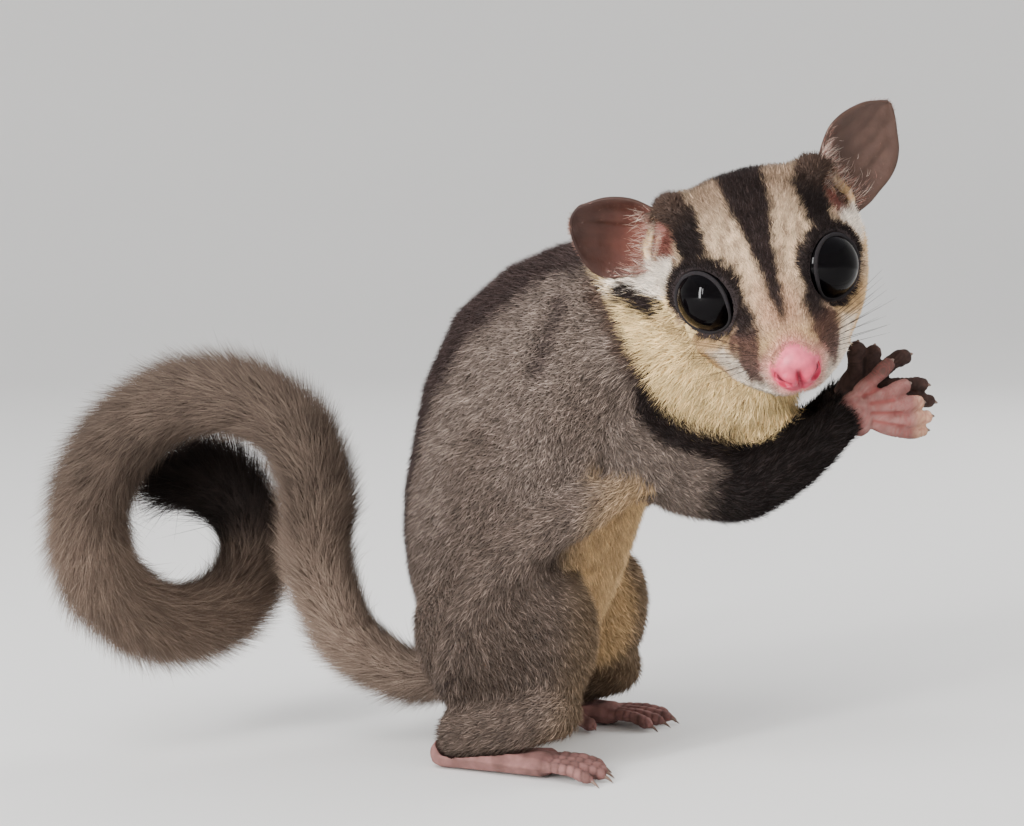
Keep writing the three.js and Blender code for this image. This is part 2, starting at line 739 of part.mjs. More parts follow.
// One length of the tail: its core with every lock that lies over it, cut square at both ends
function tailLength(locks, from, to) {
  const isStart = from === TAIL_CUTS[0];
  const isEnd = to === TAIL_CUTS[TAIL_CUTS.length - 1];
  const spare = 1;
  const core = tailCore(isStart ? from : from - spare, isEnd ? to : to + spare);
  const over = locks.filter(({ root, long }) => root + CORE.covers * long > from && root < to);
  const coat = union([core, ...over.map(tailLock)]);
  const cuts = [];
  if (!isStart) {
    cuts.push(tailBlock(from, -1));
  }
  if (!isEnd) {
    cuts.push(tailBlock(to, 1));
  }
  return without(coat, cuts);
}

function buildFigure() {
  const floor = belowFloor();
  const skull = onHead(headMass(GAP));
  const earRooms = Object.values(EARS).flatMap((ear) => {
    const mass = onHead(earMass(ear, GAP));
    return [mass, mass.translate([0, 0, -GAP]), mass.translate([-GAP, 0, 0])];
  });

  addNode('head', buildHead(), FINISH.cream);
  addNode('nose', buildNose(), FINISH.nose);
  addNode('eye_right', onHead(eyeBall(-1, 0)), FINISH.eye);
  addNode('eye_left', onHead(eyeBall(1, 0)), FINISH.eye);
  for (const [name, ear] of Object.entries(EARS)) {
    addNode(name, without(onHead(earMass(ear)), [skull]), FINISH.ear);
  }

  const neckRoom = neckMass(GAP);
  addNode('neck', without(neckMass(), [skull, ...earRooms]), FINISH.cream);
  const torsoRoom = limb(torsoPart, GAP);
  addNode('torso', without(limb(torsoPart), [skull, neckRoom, ...earRooms, floor]), FINISH.grey);

  const trunk = [skull, neckRoom, torsoRoom];
  for (const [name, s] of [['right', -1], ['left', 1]]) {
    const upperRoom = limb(upperArm(name), GAP);
    const foreRoom = limb(foreArm(name), GAP);
    const thighRoom = limb(thigh(s), GAP);
    const shinRoom = limb(shin(s), GAP);
    addNode(`upper_arm_${name}`, without(limb(upperArm(name)), trunk), FINISH.dark);
    addNode(`forearm_${name}`, without(limb(foreArm(name)), [...trunk, upperRoom]), FINISH.dark);
    const wristRoom = limb(foreArm(name), WRIST_GAP);
    addNode(`hand_${name}`, without(buildHand(name), [wristRoom]), FINISH.skin);
    addNode(`thigh_${name}`, without(limb(thigh(s)), [...trunk, floor]), FINISH.grey);
    addNode(`shin_${name}`, without(limb(shin(s)), [...trunk, thighRoom, floor]), FINISH.grey);
    addNode(`foot_${name}`, without(buildFoot(s), [shinRoom, thighRoom, torsoRoom, floor]), FINISH.skin);
    const around = [...trunk, upperRoom, foreRoom, thighRoom, shinRoom];
    addNode(`gliding_membrane_${name}`, without(limb(membrane(s)), around), FINISH.grey);
  }

  const locks = allLocks();
  TAIL_LENGTHS.forEach((name, i) => {
    const piece = tailLength(locks, TAIL_CUTS[i], TAIL_CUTS[i + 1]);
    addNode(name, i === 0 ? without(piece, [torsoRoom, floor]) : piece, FINISH.brown);
  });
}

buildFigure();

export default model;
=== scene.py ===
"""A life-size sugar glider sitting up on its haunches, with skin, coat, eyes, ears, whiskers and claws."""
import math

import bmesh
import bpy
import numpy as np
from mathutils import Matrix, Vector
from mathutils.kdtree import KDTree


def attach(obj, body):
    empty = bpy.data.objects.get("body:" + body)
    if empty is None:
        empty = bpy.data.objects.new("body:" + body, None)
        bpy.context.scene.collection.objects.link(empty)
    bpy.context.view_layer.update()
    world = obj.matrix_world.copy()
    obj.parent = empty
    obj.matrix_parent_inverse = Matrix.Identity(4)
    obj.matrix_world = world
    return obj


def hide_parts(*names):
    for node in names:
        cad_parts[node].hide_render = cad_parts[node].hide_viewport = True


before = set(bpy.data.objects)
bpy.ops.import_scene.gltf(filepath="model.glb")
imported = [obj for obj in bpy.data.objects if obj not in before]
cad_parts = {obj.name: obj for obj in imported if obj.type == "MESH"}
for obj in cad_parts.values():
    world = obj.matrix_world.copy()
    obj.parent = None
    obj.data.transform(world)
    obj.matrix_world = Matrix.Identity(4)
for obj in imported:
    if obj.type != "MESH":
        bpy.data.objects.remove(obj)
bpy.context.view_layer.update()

# Sizes are in millimetres, and MM turns them into metres
MM = 0.001

# The whole animal is moved by this much, so that its base is centred on the origin
REST = np.array([3.3, -8.3, 0.0])

# Place of the point between the eyes, and the head's turns in degrees
HEAD_PLACE = np.array([35.7, -10.0, 70.8]) + REST
HEAD_NOD = 23.0
HEAD_TILT = -15.5
HEAD_TURN = -2.4

# Foot of the body's own frame on the floor, and its heading in degrees
BODY_PLACE = np.array([0.0, 17.0, 0.0]) + REST
BODY_HEADING = -17.2

# Eyes in the head's frame
EYE_APART = 9.3
EYE_BALL = 5.1
EYE_OPENING = 4.5
EYE_OUTWARD = 39.0
EYE_UPWARD = 8.0

# Height of the opening's edge over the middle of the ball
EYE_RIM = math.sqrt(EYE_BALL ** 2 - EYE_OPENING ** 2)

SEED = 20


def turn_about(axis, degrees):
    return np.array(Matrix.Rotation(math.radians(degrees), 3, axis))


HEAD_AXES = turn_about("Z", HEAD_TURN) @ turn_about("Y", HEAD_TILT) @ turn_about("X", HEAD_NOD)
BODY_AXES = turn_about("Z", BODY_HEADING)


def to_head(points):
    """Points in the head's frame: across, back from the eyes, up."""
    return (points - HEAD_PLACE) @ HEAD_AXES


def from_head(points):
    return np.asarray(points, float) @ HEAD_AXES.T + HEAD_PLACE


def to_body(points):
    """Points in the body's frame: forward, left, up."""
    return (points - BODY_PLACE) @ BODY_AXES


def from_body(points):
    return np.asarray(points, float) @ BODY_AXES.T + BODY_PLACE


def unit(vectors):
    return vectors / np.maximum(np.linalg.norm(vectors, axis=-1, keepdims=True), 1e-9)


def ramp(values, start, end):
    """0 before start, 1 after end, and smooth between them."""
    t = np.clip((values - start) / (end - start), 0.0, 1.0)
    return t * t * (3.0 - 2.0 * t)


def wobble(points, size, seed):
    """Smooth uneven values from about -1 to 1, with bumps of the given size."""
    draw = np.random.default_rng(seed)
    total = np.zeros(len(points))
    for _ in range(7):
        way = unit(draw.normal(size=3))
        pace = 2 * math.pi / (size * draw.uniform(0.7, 1.6))
        total += np.sin(points @ way * pace + draw.uniform(0, 6.28))
    return total / 3.2


def along_line(points, keys):
    """Nearest place on a line of keys: the point, the line's way there, the share along it, and the gap."""
    keys = np.asarray(keys, float)
    best = np.full(len(points), 1e9)
    spot = np.zeros((len(points), 3))
    heading = np.zeros((len(points), 3))
    share = np.zeros(len(points))
    count = len(keys) - 1
    for i in range(count):
        step = keys[i + 1] - keys[i]
        t = np.clip(((points - keys[i]) @ step) / (step @ step), 0, 1)
        near = keys[i] + t[:, None] * step
        gap = np.linalg.norm(points - near, axis=1)
        closer = gap < best
        best[closer] = gap[closer]
        spot[closer] = near[closer]
        heading[closer] = unit(step)
        share[closer] = (i + t[closer]) / count
    return spot, heading, share, best


def catmull(keys, shares):
    """Smooth places on a line of keys, for shares from 0 to 1."""
    keys = np.asarray(keys, float)
    last = len(keys) - 1
    at = np.clip(shares, 0, 1) * last
    i = np.minimum(at.astype(int), last - 1)
    s = (at - i)[:, None] if keys.ndim > 1 else at - i
    before, start = keys[np.maximum(i - 1, 0)], keys[i]
    end, after = keys[i + 1], keys[np.minimum(i + 2, last)]
    return 0.5 * (2 * start + (end - before) * s + (2 * before - 5 * start + 4 * end - after) * s ** 2
                  + (3 * start - before - 3 * end + after) * s ** 3)


def colour(red, green, blue):
    """A screen colour of 0 to 255 as the linear values that shaders use."""
    value = np.array([red, green, blue], float) / 255.0
    return np.where(value <= 0.04045, value / 12.92, ((value + 0.055) / 1.055) ** 2.4)


# Colours of the coat and the bare skin
GREY = colour(116, 102, 93)
DARK_GREY = colour(92, 78, 69)
BLACK_BROWN = colour(37, 28, 26)
CREAM = colour(226, 188, 138)
YELLOW_CREAM = colour(242, 210, 152)
FOREHEAD = colour(228, 198, 164)
FOREHEAD_BROWN = colour(128, 100, 82)
BRIDGE = colour(210, 166, 134)
WHITE_FUR = colour(255, 240, 222)
MUZZLE_BROWN = colour(92, 60, 57)
EAR_BROWN = colour(84, 66, 56)
NOSE_PINK = colour(178, 54, 78)
# Painted light on the top of the nose, and painted shade in its nostrils and groove
NOSE_LIT = colour(204, 94, 112)
NOSE_SHADE = colour(80, 16, 28)
PINK_FUR = colour(222, 150, 138)
LID_BROWN = colour(40, 32, 32)
LID_GREY = colour(24, 20, 22)
EAR_PINK = colour(126, 76, 66)
EAR_CUP = colour(50, 29, 23)
EAR_DEEP = colour(112, 66, 56)
EAR_ROOT = colour(146, 96, 86)
EAR_END = colour(36, 22, 18)
EAR_RIM = colour(66, 48, 41)
EAR_BACK = colour(70, 52, 45)
EAR_HAIR_PINK = colour(160, 100, 86)
EAR_DOWN = colour(112, 76, 66)
# Painted shade along the fold of the cheek
FOLD_SHADE = colour(84, 56, 42)
SKIN_PINK = colour(130, 92, 87)
SKIN_DARK = colour(52, 36, 32)
FINGER_TIP = colour(208, 166, 128)
# Painted shade in the creases of the palm and between the digits
CREASE_SHADE = colour(124, 66, 62)
CLAW_HORN = colour(104, 82, 70)
WHISKER_BROWN = colour(48, 38, 34)
EYE_BLACK = colour(4, 3, 4)
TAIL_BROWN = colour(117, 99, 87)
TAIL_PALE = colour(172, 152, 134)
TAIL_DARK = colour(46, 38, 35)

# Lines that the coat and its markings follow, in the body's frame
BACK_LINE = [(-4, 0, 9), (-1.5, 0, 18), (1, 0, 30), (4, 0, 42), (9, 0, 54), (17, 0, 61), (25, 0, 64)]
HIP_TO_KNEE = [(-4, 13, 24), (4, 14.5, 21), (12, 15.5, 15)]
KNEE_TO_HEEL = [(12, 17.5, 10.5), (5, 18, 7.2), (-3.5, 17.6, 4.8)]
MEMBRANE_EDGE = [(24, 14.5, 43), (16, 17, 38), (7, 20, 32.5), (0, 21.4, 23), (-3.5, 20.2, 12)]

# Neck, arms and tail, before the animal is moved to rest, and the tail's radius at each of its keys
NECK_LINE = [(16, 12, 58), (22.5, 8, 60.3), (28.5, 4.4, 62.8), (34, 1.2, 65.6)]
ARM_LINES = {
    "right": [(18, 2, 49.5), (25, -1.5, 43.8), (32.5, -4.4, 41.3), (40, -6.2, 45.6), (48, -5.6, 52.6)],
    "left": [(25.5, 20, 50), (32, 18, 46), (38, 14, 43.5), (44, 8, 48), (48.2, 0.8, 54.6)],
}
TAIL_LINE = [
    (-5, 18.6, 11), (-15, 18.8, 10.5), (-24, 17, 16), (-28.8, 14.5, 27), (-29.2, 12, 38.6),
    (-32.3, 10, 47.8), (-39.3, 8.5, 52.9), (-48.3, 7.5, 53.1), (-57, 6.5, 47.6), (-61.6, 6, 38.2),
    (-60.8, 7.5, 28), (-54.2, 12, 20.6), (-46, 18, 20.2), (-41.2, 22.5, 25.2), (-41.2, 24, 32.4),
    (-45.2, 22.8, 38.2), (-50.6, 20.6, 40),
]
TAIL_RADIUS = [4.2, 5.0, 5.9, 6.4, 6.7, 6.9, 7.0, 7.1, 7.1, 7.2, 7.4, 7.4, 7.2, 6.9, 6.6, 6.2, 4.9]

# The tail's skin as a share of the bush's radius, its length, and its steps along, round and in its thin end
TAIL_CORE = 0.5
TAIL_LONG = 156.0
TAIL_STEPS, TAIL_SIDES, TAIL_END = 190, 28, 8


def head_folded(local):
    """Places of the head's frame, with the right side laid on the left one."""
    return np.stack([np.abs(local[:, 0]), local[:, 1], local[:, 2]], 1)


def body_folded(local):
    """Places of the body's frame, with the left side laid on the right one."""
    return np.stack([local[:, 0], -np.abs(local[:, 1]), local[:, 2]], 1)


def at_rest(keys):
    """Places moved by as much as the whole animal is."""
    return np.asarray(keys, float) + REST


def body_line(keys, side=1):
    """A line of the body's frame in the row's frame, on the left (+1) or the right (-1)."""
    return from_body(np.asarray(keys, float) * [1, side, 1])


def placed(name, data):
    """A new object of the scene with the given mesh, lamp or camera."""
    thing = bpy.data.objects.new(name, data)
    bpy.context.scene.collection.objects.link(thing)
    return thing


def new_piece(name, points, faces):
    mesh = bpy.data.meshes.new(name)
    mesh.from_pydata(np.asarray(points) * MM, [], faces)
    mesh.update()
    return placed(name, mesh)


def read(items, key, width, kind=np.float32):
    """One value of every item of a mesh, in rows of the given width."""
    flat = np.empty(len(items) * width, kind)
    items.foreach_get(key, flat)
    return flat.reshape(-1, width)


def points_of(piece):
    return read(piece.data.vertices, "co", 3).astype(float) / MM


def move_points(piece, points):
    piece.data.vertices.foreach_set("co", (np.asarray(points) * MM).astype(np.float32).ravel())
    piece.data.update()


def normals_of(piece):
    return read(piece.data.vertex_normals, "vector", 3).astype(float)


def hue_of(piece):
    return read(piece.data.color_attributes["hue"].data, "color", 4)[:, :3].astype(float)


def faces_of(piece):
    return [tuple(face.vertices) for face in piece.data.polygons]


def relaxed(values, edges, rounds):
    """Values of points, evened out with their neighbours a number of times."""
    values = np.array(values, float)
    flat = values.reshape(len(values), -1)
    degree = np.bincount(edges.ravel(), minlength=len(flat)).astype(float)[:, None]
    first, second = edges[:, 0], edges[:, 1]
    for _ in range(rounds):
        total = np.empty_like(flat)
        for k in range(flat.shape[1]):
            total[:, k] = np.bincount(first, flat[second, k], len(flat))
            total[:, k] += np.bincount(second, flat[first, k], len(flat))
        flat = 0.5 * flat + 0.5 * total / np.maximum(degree, 1)
    return flat.reshape(values.shape)


def use(piece):
    """Only this piece selected and active."""
    bpy.ops.object.select_all(action="DESELECT")
    piece.select_set(True)
    bpy.context.view_layer.objects.active = piece


def apply_new(piece, kind, **settings):
    """A modifier added to a piece and applied at once."""
    use(piece)
    step = piece.modifiers.new(kind.title(), kind)
    for name, value in settings.items():
        setattr(step, name, value)
    bpy.ops.object.modifier_apply(modifier=step.name)


def copy_of(nodes, name):
    """One new piece from merged copies of some of the fixed nodes."""
    shape = bmesh.new()
    for node in nodes:
        shape.from_mesh(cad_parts[node].data)
    bmesh.ops.remove_doubles(shape, verts=shape.verts, dist=0.002 * MM)
    mesh = bpy.data.meshes.new(name)
    shape.to_mesh(mesh)
    shape.free()
    return placed(name, mesh)


def made_whole(piece, voxel, soften):
    """Overlapping forms made one closed surface and softened."""
    apply_new(piece, "REMESH", mode="VOXEL", voxel_size=voxel * MM, adaptivity=0.0)
    apply_new(piece, "SMOOTH", factor=0.5, iterations=soften)
    return piece


def grown_shell(nodes, name, swell, voxel, soften):
    """Nodes swollen until their gaps close, made one closed surface, softened, and taken in again."""
    piece = copy_of(nodes, name)
    apply_new(piece, "DISPLACE", strength=swell * MM, mid_level=0.0)
    made_whole(piece, voxel, soften)
    move_points(piece, points_of(piece) - normals_of(piece) * swell)
    return piece


def refined(piece, inside, cuts):
    """Finer faces where the test of the points says so."""
    shape = bmesh.new()
    shape.from_mesh(piece.data)
    shape.verts.ensure_lookup_table()
    chosen = [edge for edge in shape.edges if inside[edge.verts[0].index] and inside[edge.verts[1].index]]
    bmesh.ops.subdivide_edges(shape, edges=chosen, cuts=cuts, use_grid_fill=True, smooth=0.4)
    bmesh.ops.triangulate(shape, faces=[face for face in shape.faces if len(face.verts) > 4])
    shape.to_mesh(piece.data)
    shape.free()
    piece.data.update()


def paint(piece, values):
    """A colour for each point of a piece, kept in its mesh in place of any it has."""
    kept = piece.data.color_attributes
    if "hue" in kept:
        kept.remove(kept["hue"])
    layer = kept.new(name="hue", type="FLOAT_COLOR", domain="POINT")
    rgba = np.ones((len(values), 4), np.float32)
    rgba[:, :3] = values
    layer.data.foreach_set("color", rgba.ravel())


def outward(piece):
    """Faces turned outward on a closed piece."""
    shape = bmesh.new()
    shape.from_mesh(piece.data)
    bmesh.ops.recalc_face_normals(shape, faces=shape.faces)
    shape.to_mesh(piece.data)
    shape.free()
    return piece


# Coat: its depth over the skin, the length, width and lift in degrees of its tufts, and tufts to a square mm
COAT = {
    "torso": dict(depth=0.9, length=1.6, width=0.185, lift=29, thick=17),
    "neck": dict(depth=1.1, length=2.4, width=0.17, lift=23, thick=20),
    "head": dict(depth=0.5, length=1.4, width=0.15, lift=19, thick=24),
    "upper_arm": dict(depth=0.8, length=1.7, width=0.19, lift=23, thick=14),
    "forearm": dict(depth=0.6, length=1.8, width=0.19, lift=18, thick=14),
    "thigh": dict(depth=0.9, length=1.7, width=0.2, lift=24, thick=12),
    "shin": dict(depth=0.6, length=1.8, width=0.2, lift=18, thick=12),
    "gliding_membrane": dict(depth=0.5, length=1.9, width=0.19, lift=17, thick=13),
}
COAT_FIELDS = ("depth", "length", "width", "lift", "thick")
REGIONS = list(COAT)
FACE_COAT = dict(depth=0.2, length=0.85, width=0.12, lift=12, thick=46)
FACE_BACK = 9.0
FACE_FRONT = -7.0


def region_of(node):
    return next(name for name in REGIONS if node.startswith(name))


def areas_of(corners):
    """Areas of triangles given by their corners."""
    return np.linalg.norm(np.cross(corners[:, 1] - corners[:, 0], corners[:, 2] - corners[:, 0]), axis=1) / 2


def triangle_shares(draw, count):
    """Even random places in a triangle, as the shares of its three corners."""
    a, b = draw.random((2, count))
    fold = a + b > 1
    a, b = np.where(fold, 1 - a, a), np.where(fold, 1 - b, b)
    return np.stack([1 - a - b, a, b], 1)


# Gap in millimetres between the samples that tell which node a place belongs to, and the fewest of them
SAMPLE_GAP = 1.2
FEWEST_SAMPLES = 20


def spread_over(node):
    """Points spread over the surface of a node."""
    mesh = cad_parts[node].data
    corners = np.array([[mesh.vertices[k].co for k in face.vertices] for face in mesh.polygons]) / MM
    area = areas_of(corners)
    count = int(area.sum() / SAMPLE_GAP ** 2) + FEWEST_SAMPLES
    draw = np.random.default_rng(SEED)
    chosen = corners[draw.choice(len(corners), count, p=area / area.sum())]
    shares = triangle_shares(draw, count)
    first, second, third = chosen[:, 0], chosen[:, 1], chosen[:, 2]
    return first + shares[:, 1:2] * (second - first) + shares[:, 2:] * (third - first)


def eye_look(side):
    """The way that an eye looks, in the head's frame."""
    outward_way, upward_way = math.radians(EYE_OUTWARD), math.radians(EYE_UPWARD)
    return unit(np.array([
        side * math.sin(outward_way),
        -math.cos(outward_way) * math.cos(upward_way),
        math.cos(outward_way) * math.sin(upward_way),
    ]))


def eye_middle(side):
    """Middle of an eye's ball, in the head's frame."""
    return np.array([side * EYE_APART, 0, 0]) - eye_look(side) * EYE_RIM


def flow_at(points, node):
    """The way that the hair lies on a node, from its root to its tip."""
    side = 1 if node.endswith("left") else -1
    if node == "head":
        local = to_head(points)
        way = np.stack([0.25 * local[:, 0] / 12, np.ones(len(local)), -0.25 * ramp(-local[:, 2], 0, 12)], 1)
        for eye_side in (-1, 1):
            away = local - [eye_side * EYE_APART, 0, 0]
            near = 1 - ramp(np.linalg.norm(away, axis=1), 5.0, 8.5)
            way = way + (unit(away) * 1.3 - 0.8 * way) * near[:, None]
        return unit(way @ HEAD_AXES.T)
    if node == "neck":
        way = -along_line(points, at_rest(NECK_LINE))[1]
        under = ramp(-to_head(points)[:, 2], 4, 14)
        return unit(way + under[:, None] * [0.3, 0.0, -0.8])
    if node == "torso":
        return unit(-along_line(points, body_line(BACK_LINE))[1] - 0.3 * BODY_AXES[:, 0])
    if node.startswith(("upper_arm", "forearm")):
        return along_line(points, at_rest(ARM_LINES["left" if side > 0 else "right"]))[1]
    line = {"thigh": HIP_TO_KNEE, "shin": KNEE_TO_HEEL, "gliding": MEMBRANE_EDGE}[node.split("_")[0]]
    way = along_line(points, body_line(line, side))[1]
    return unit(way + np.array([0, 0, -0.35])) if node.startswith("thigh") else way


FLESH = ["head", "neck", "torso"] + [
    f"{part}_{side}"
    for part in ("upper_arm", "forearm", "thigh", "shin", "gliding_membrane")
    for side in ("right", "left")
]
TAIL_NODES = ["tail_root", "tail_rise", "tail_bow", "tail_outer", "tail_under", "tail_tip"]


def nearest_nodes(points, nodes):
    """Which of the nodes lies nearest to each point."""
    samples = [spread_over(node) for node in nodes]
    owner = np.concatenate([np.full(len(s), i) for i, s in enumerate(samples)])
    every = np.concatenate(samples)
    tree = KDTree(len(every))
    for i, point in enumerate(every):
        tree.insert(point, i)
    tree.balance()
    return owner[[tree.find(point)[1] for point in points]]


# Markings of the head, in its own frame: half widths of the stripe from front to back, then lines
STRIPE_HEAD = np.array([
    (-8.6, 0.1), (-7.6, 0.8), (-5.9, 1.1), (-3.4, 1.25), (-1.0, 1.6), (2.0, 2.3), (4.5, 3.0), (9.5, 3.3),
    (14, 3.8),
])
EAR_BAND = [(9.0, 2.4, 6.2), (9.3, 4.2, 7.8), (9.7, 7.2, 9.9), (11.3, 11.0, 12.4), (12.4, 13.5, 12.0)]
CHEEK_BLOB = [(20.4, 9.8, 1.0), (18.7, 7.2, 0.2), (17.2, 4.9, -0.7)]
# The cheek's fold, pressed into the skin and darkened with painted shade
CHEEK_FOLD = [
    (15.4, 1.6, -2.6), (13.6, -1.0, -5.6), (12.0, -2.4, -9.0), (10.2, -2.9, -11.1), (8.4, -3.6, -12.7),
]
CHEEK_PALE = [(10.8, -2.2, -5.2), (9.0, -5.4, -6.6), (7.4, -7.4, -8.4)]
EAR_TUFT = [(21.0, 12.5, -1.0), (18.4, 11.6, 2.2), (15.4, 8.0, 2.2), (13.3, 5.2, 2.6)]
EAR_HOLLOW = (14.1, 9.0, 6.6)
MUZZLE_PATCH = [(5.8, -8.4, -3.4), (5.3, -9.8, -5.3), (5.8, -9.8, -6.7)]
EYE_TO_MUZZLE = [(6.6, -4.2, 1.4), (5.1, -6.0, -0.6), (4.9, -8.0, -2.4), (5.4, -9.2, -4.2)]

# Edge of the pale throat in the body's frame on the right side, from top to bottom, and the way across it
THROAT_EDGE = [
    (14.4, -12, 72), (16.3, -12.8, 68.7), (18.4, -14.2, 65.5), (20.9, -15.8, 60.5), (23.2, -15.6, 56.2),
    (24.9, -14.5, 52.9), (27.8, -15.2, 50.4), (31.9, -14.1, 48.5), (36.2, -12.6, 47.1), (39, -12.4, 46),
]
THROAT_WAY = np.array([0.66, 0.05, 0.75])

# Soft folds of the skin on both sides: line in the body's frame, depth and width. The coat over the first of
# them, behind the neck, is also darkened with painted shade.
BODY_FOLDS = (
    ([(10.6, -12.6, 68), (10.3, -14.0, 66.0), (9.6, -15.4, 62.6), (8.2, -16.4, 58.4)], 0.7, 1.5),
    (THROAT_EDGE[:7], 0.7, 1.5),
)

# Stretch of the forehead's streaks along the hair
HEAD_STREAK = np.array([1.0, 0.35, 0.5])


def all_in(shade, count):
    """The same colour for a number of points."""
    return np.repeat(shade[None], count, 0)


def mark(total, shade, share):
    """Colours brought towards a shade by a share of 0 to 1."""
    return total + (shade - total) * np.clip(share, 0, 1)[:, None]


def head_colours(local, fuzz):
    """Colours of the head's coat, the same on its two sides."""
    folded = head_folded(local)
    across, back, up = folded.T
    streak = wobble(local * HEAD_STREAK, 1.0, 51)

    # Pale forehead with brown streaks, browner by the ears, and a grey nape
    value = all_in(FOREHEAD, len(local))
    value = mark(value, FOREHEAD_BROWN, 0.6 * ramp(streak + 0.6 * fuzz, -0.2, 1.4))
    value = mark(value, FOREHEAD_BROWN, 0.65 * ramp(back, 1, 9) * ramp(-across, -9, -6))
    value = mark(value, GREY * 1.1, ramp(back, 10, 17) * ramp(up, 0, 6))

    # Bridge of the nose, cream cheeks, white lips and chin, and cream under the ears
    value = mark(value, BRIDGE, ramp(-back, 1.0, 8) * ramp(-across, -5.0, -1.5))
    value = mark(value, CREAM, ramp(-(up + 0.12 * back), 2.5, 5.5))
    lips = ramp(-back, 1.0, 8.5) * ramp(-up, 3.5, 8.0) * ramp(across, 1.5, 3.5)
    value = mark(value, WHITE_FUR, 0.8 * lips)
    value = mark(value, WHITE_FUR * 0.85, 0.8 * ramp(-back, 8.0, 10.5) * ramp(-up, 8.2, 9.4))
    value = mark(value, CREAM, ramp(across, 12.5, 14.5) * ramp(back, 4, 7) * ramp(-up, -9, -6))

    # Black round the eyes, brown beside the muzzle, a dark line between them, and pink round the nose
    eye = np.linalg.norm(folded - [EYE_APART, 0, 0], axis=1)
    low = ramp(-up, -0.5, 3.0) * ramp(across, 6.0, 8.0)
    edge = 6.9 - 1.2 * low + 0.35 * fuzz
    value = mark(value, BLACK_BROWN, ramp(-eye, -edge - 0.5, -edge + 0.4))
    gap = along_line(folded, MUZZLE_PATCH)[3]
    value = mark(value, MUZZLE_BROWN, 0.92 * ramp(-gap - 0.5 * fuzz - 0.3 * streak, -3.9, -1.5))
    _, _, share, gap = along_line(folded, EYE_TO_MUZZLE)
    fading = 1 - 0.75 * ramp(share, 0.5, 1.0)
    value = mark(value, BLACK_BROWN * 1.4, ramp(-gap - 0.4 * fuzz, -2.3, -0.9) * fading)
    value = mark(value, PINK_FUR, 0.85 * ramp(-nose_gap(local), -1.9, -1.1))

    # Dark band from each eye to its ear, the stripe over the middle, and the bare hollow before each ear
    _, _, share, gap = along_line(folded, EAR_BAND)
    wide = 2.0 + 1.7 * share
    brown = mark(all_in(BLACK_BROWN, len(local)), EAR_BROWN, ramp(share, 0.35, 0.85))
    value = mark(value, brown, ramp(wide - gap - 0.3 * fuzz, -0.5, 0.5))
    half = np.interp(back, STRIPE_HEAD[:, 0], STRIPE_HEAD[:, 1])
    soft = 0.6 + 0.3 * ramp(-back, 2, 7)
    inside = ramp(half - np.abs(local[:, 0] - 0.2) + 0.16 * fuzz, -soft, soft)
    inside = inside * np.maximum(ramp(up, -3.5, -1.5), ramp(back, 6, 8))
    value = mark(value, BLACK_BROWN * 1.6, inside)
    return mark(value, EAR_PINK, ear_opening(local, 7.0) * ramp(-back, -13.5, -11.5))


def ear_opening(local, deep):
    """How far into the hollow before an ear's root each point lies, from 0 to 1."""
    folded = head_folded(local)
    return ramp(-np.linalg.norm((folded - EAR_HOLLOW) / [3.6, deep, 3.6], axis=1), -1.0, -0.7)


def open_ears(surface):
    """The hollow before each ear's root pressed in, with no short coat on it."""
    share = ear_opening(to_head(surface.points), 4.4)
    surface.weight = surface.weight * (1 - share)
    surface.shape(surface.points + np.outer(4.6 * share, HEAD_AXES[:, 1]))


def is_part(nodes, *parts):
    return np.array([name.startswith(parts) for name in FLESH])[nodes]


def arm_share(points, nodes):
    """How far along its arm each point lies, from shoulder to wrist."""
    right = along_line(points, at_rest(ARM_LINES["right"]))[2]
    left = along_line(points, at_rest(ARM_LINES["left"]))[2]
    return np.where(is_part(nodes, "upper_arm_right", "forearm_right"), right, left)


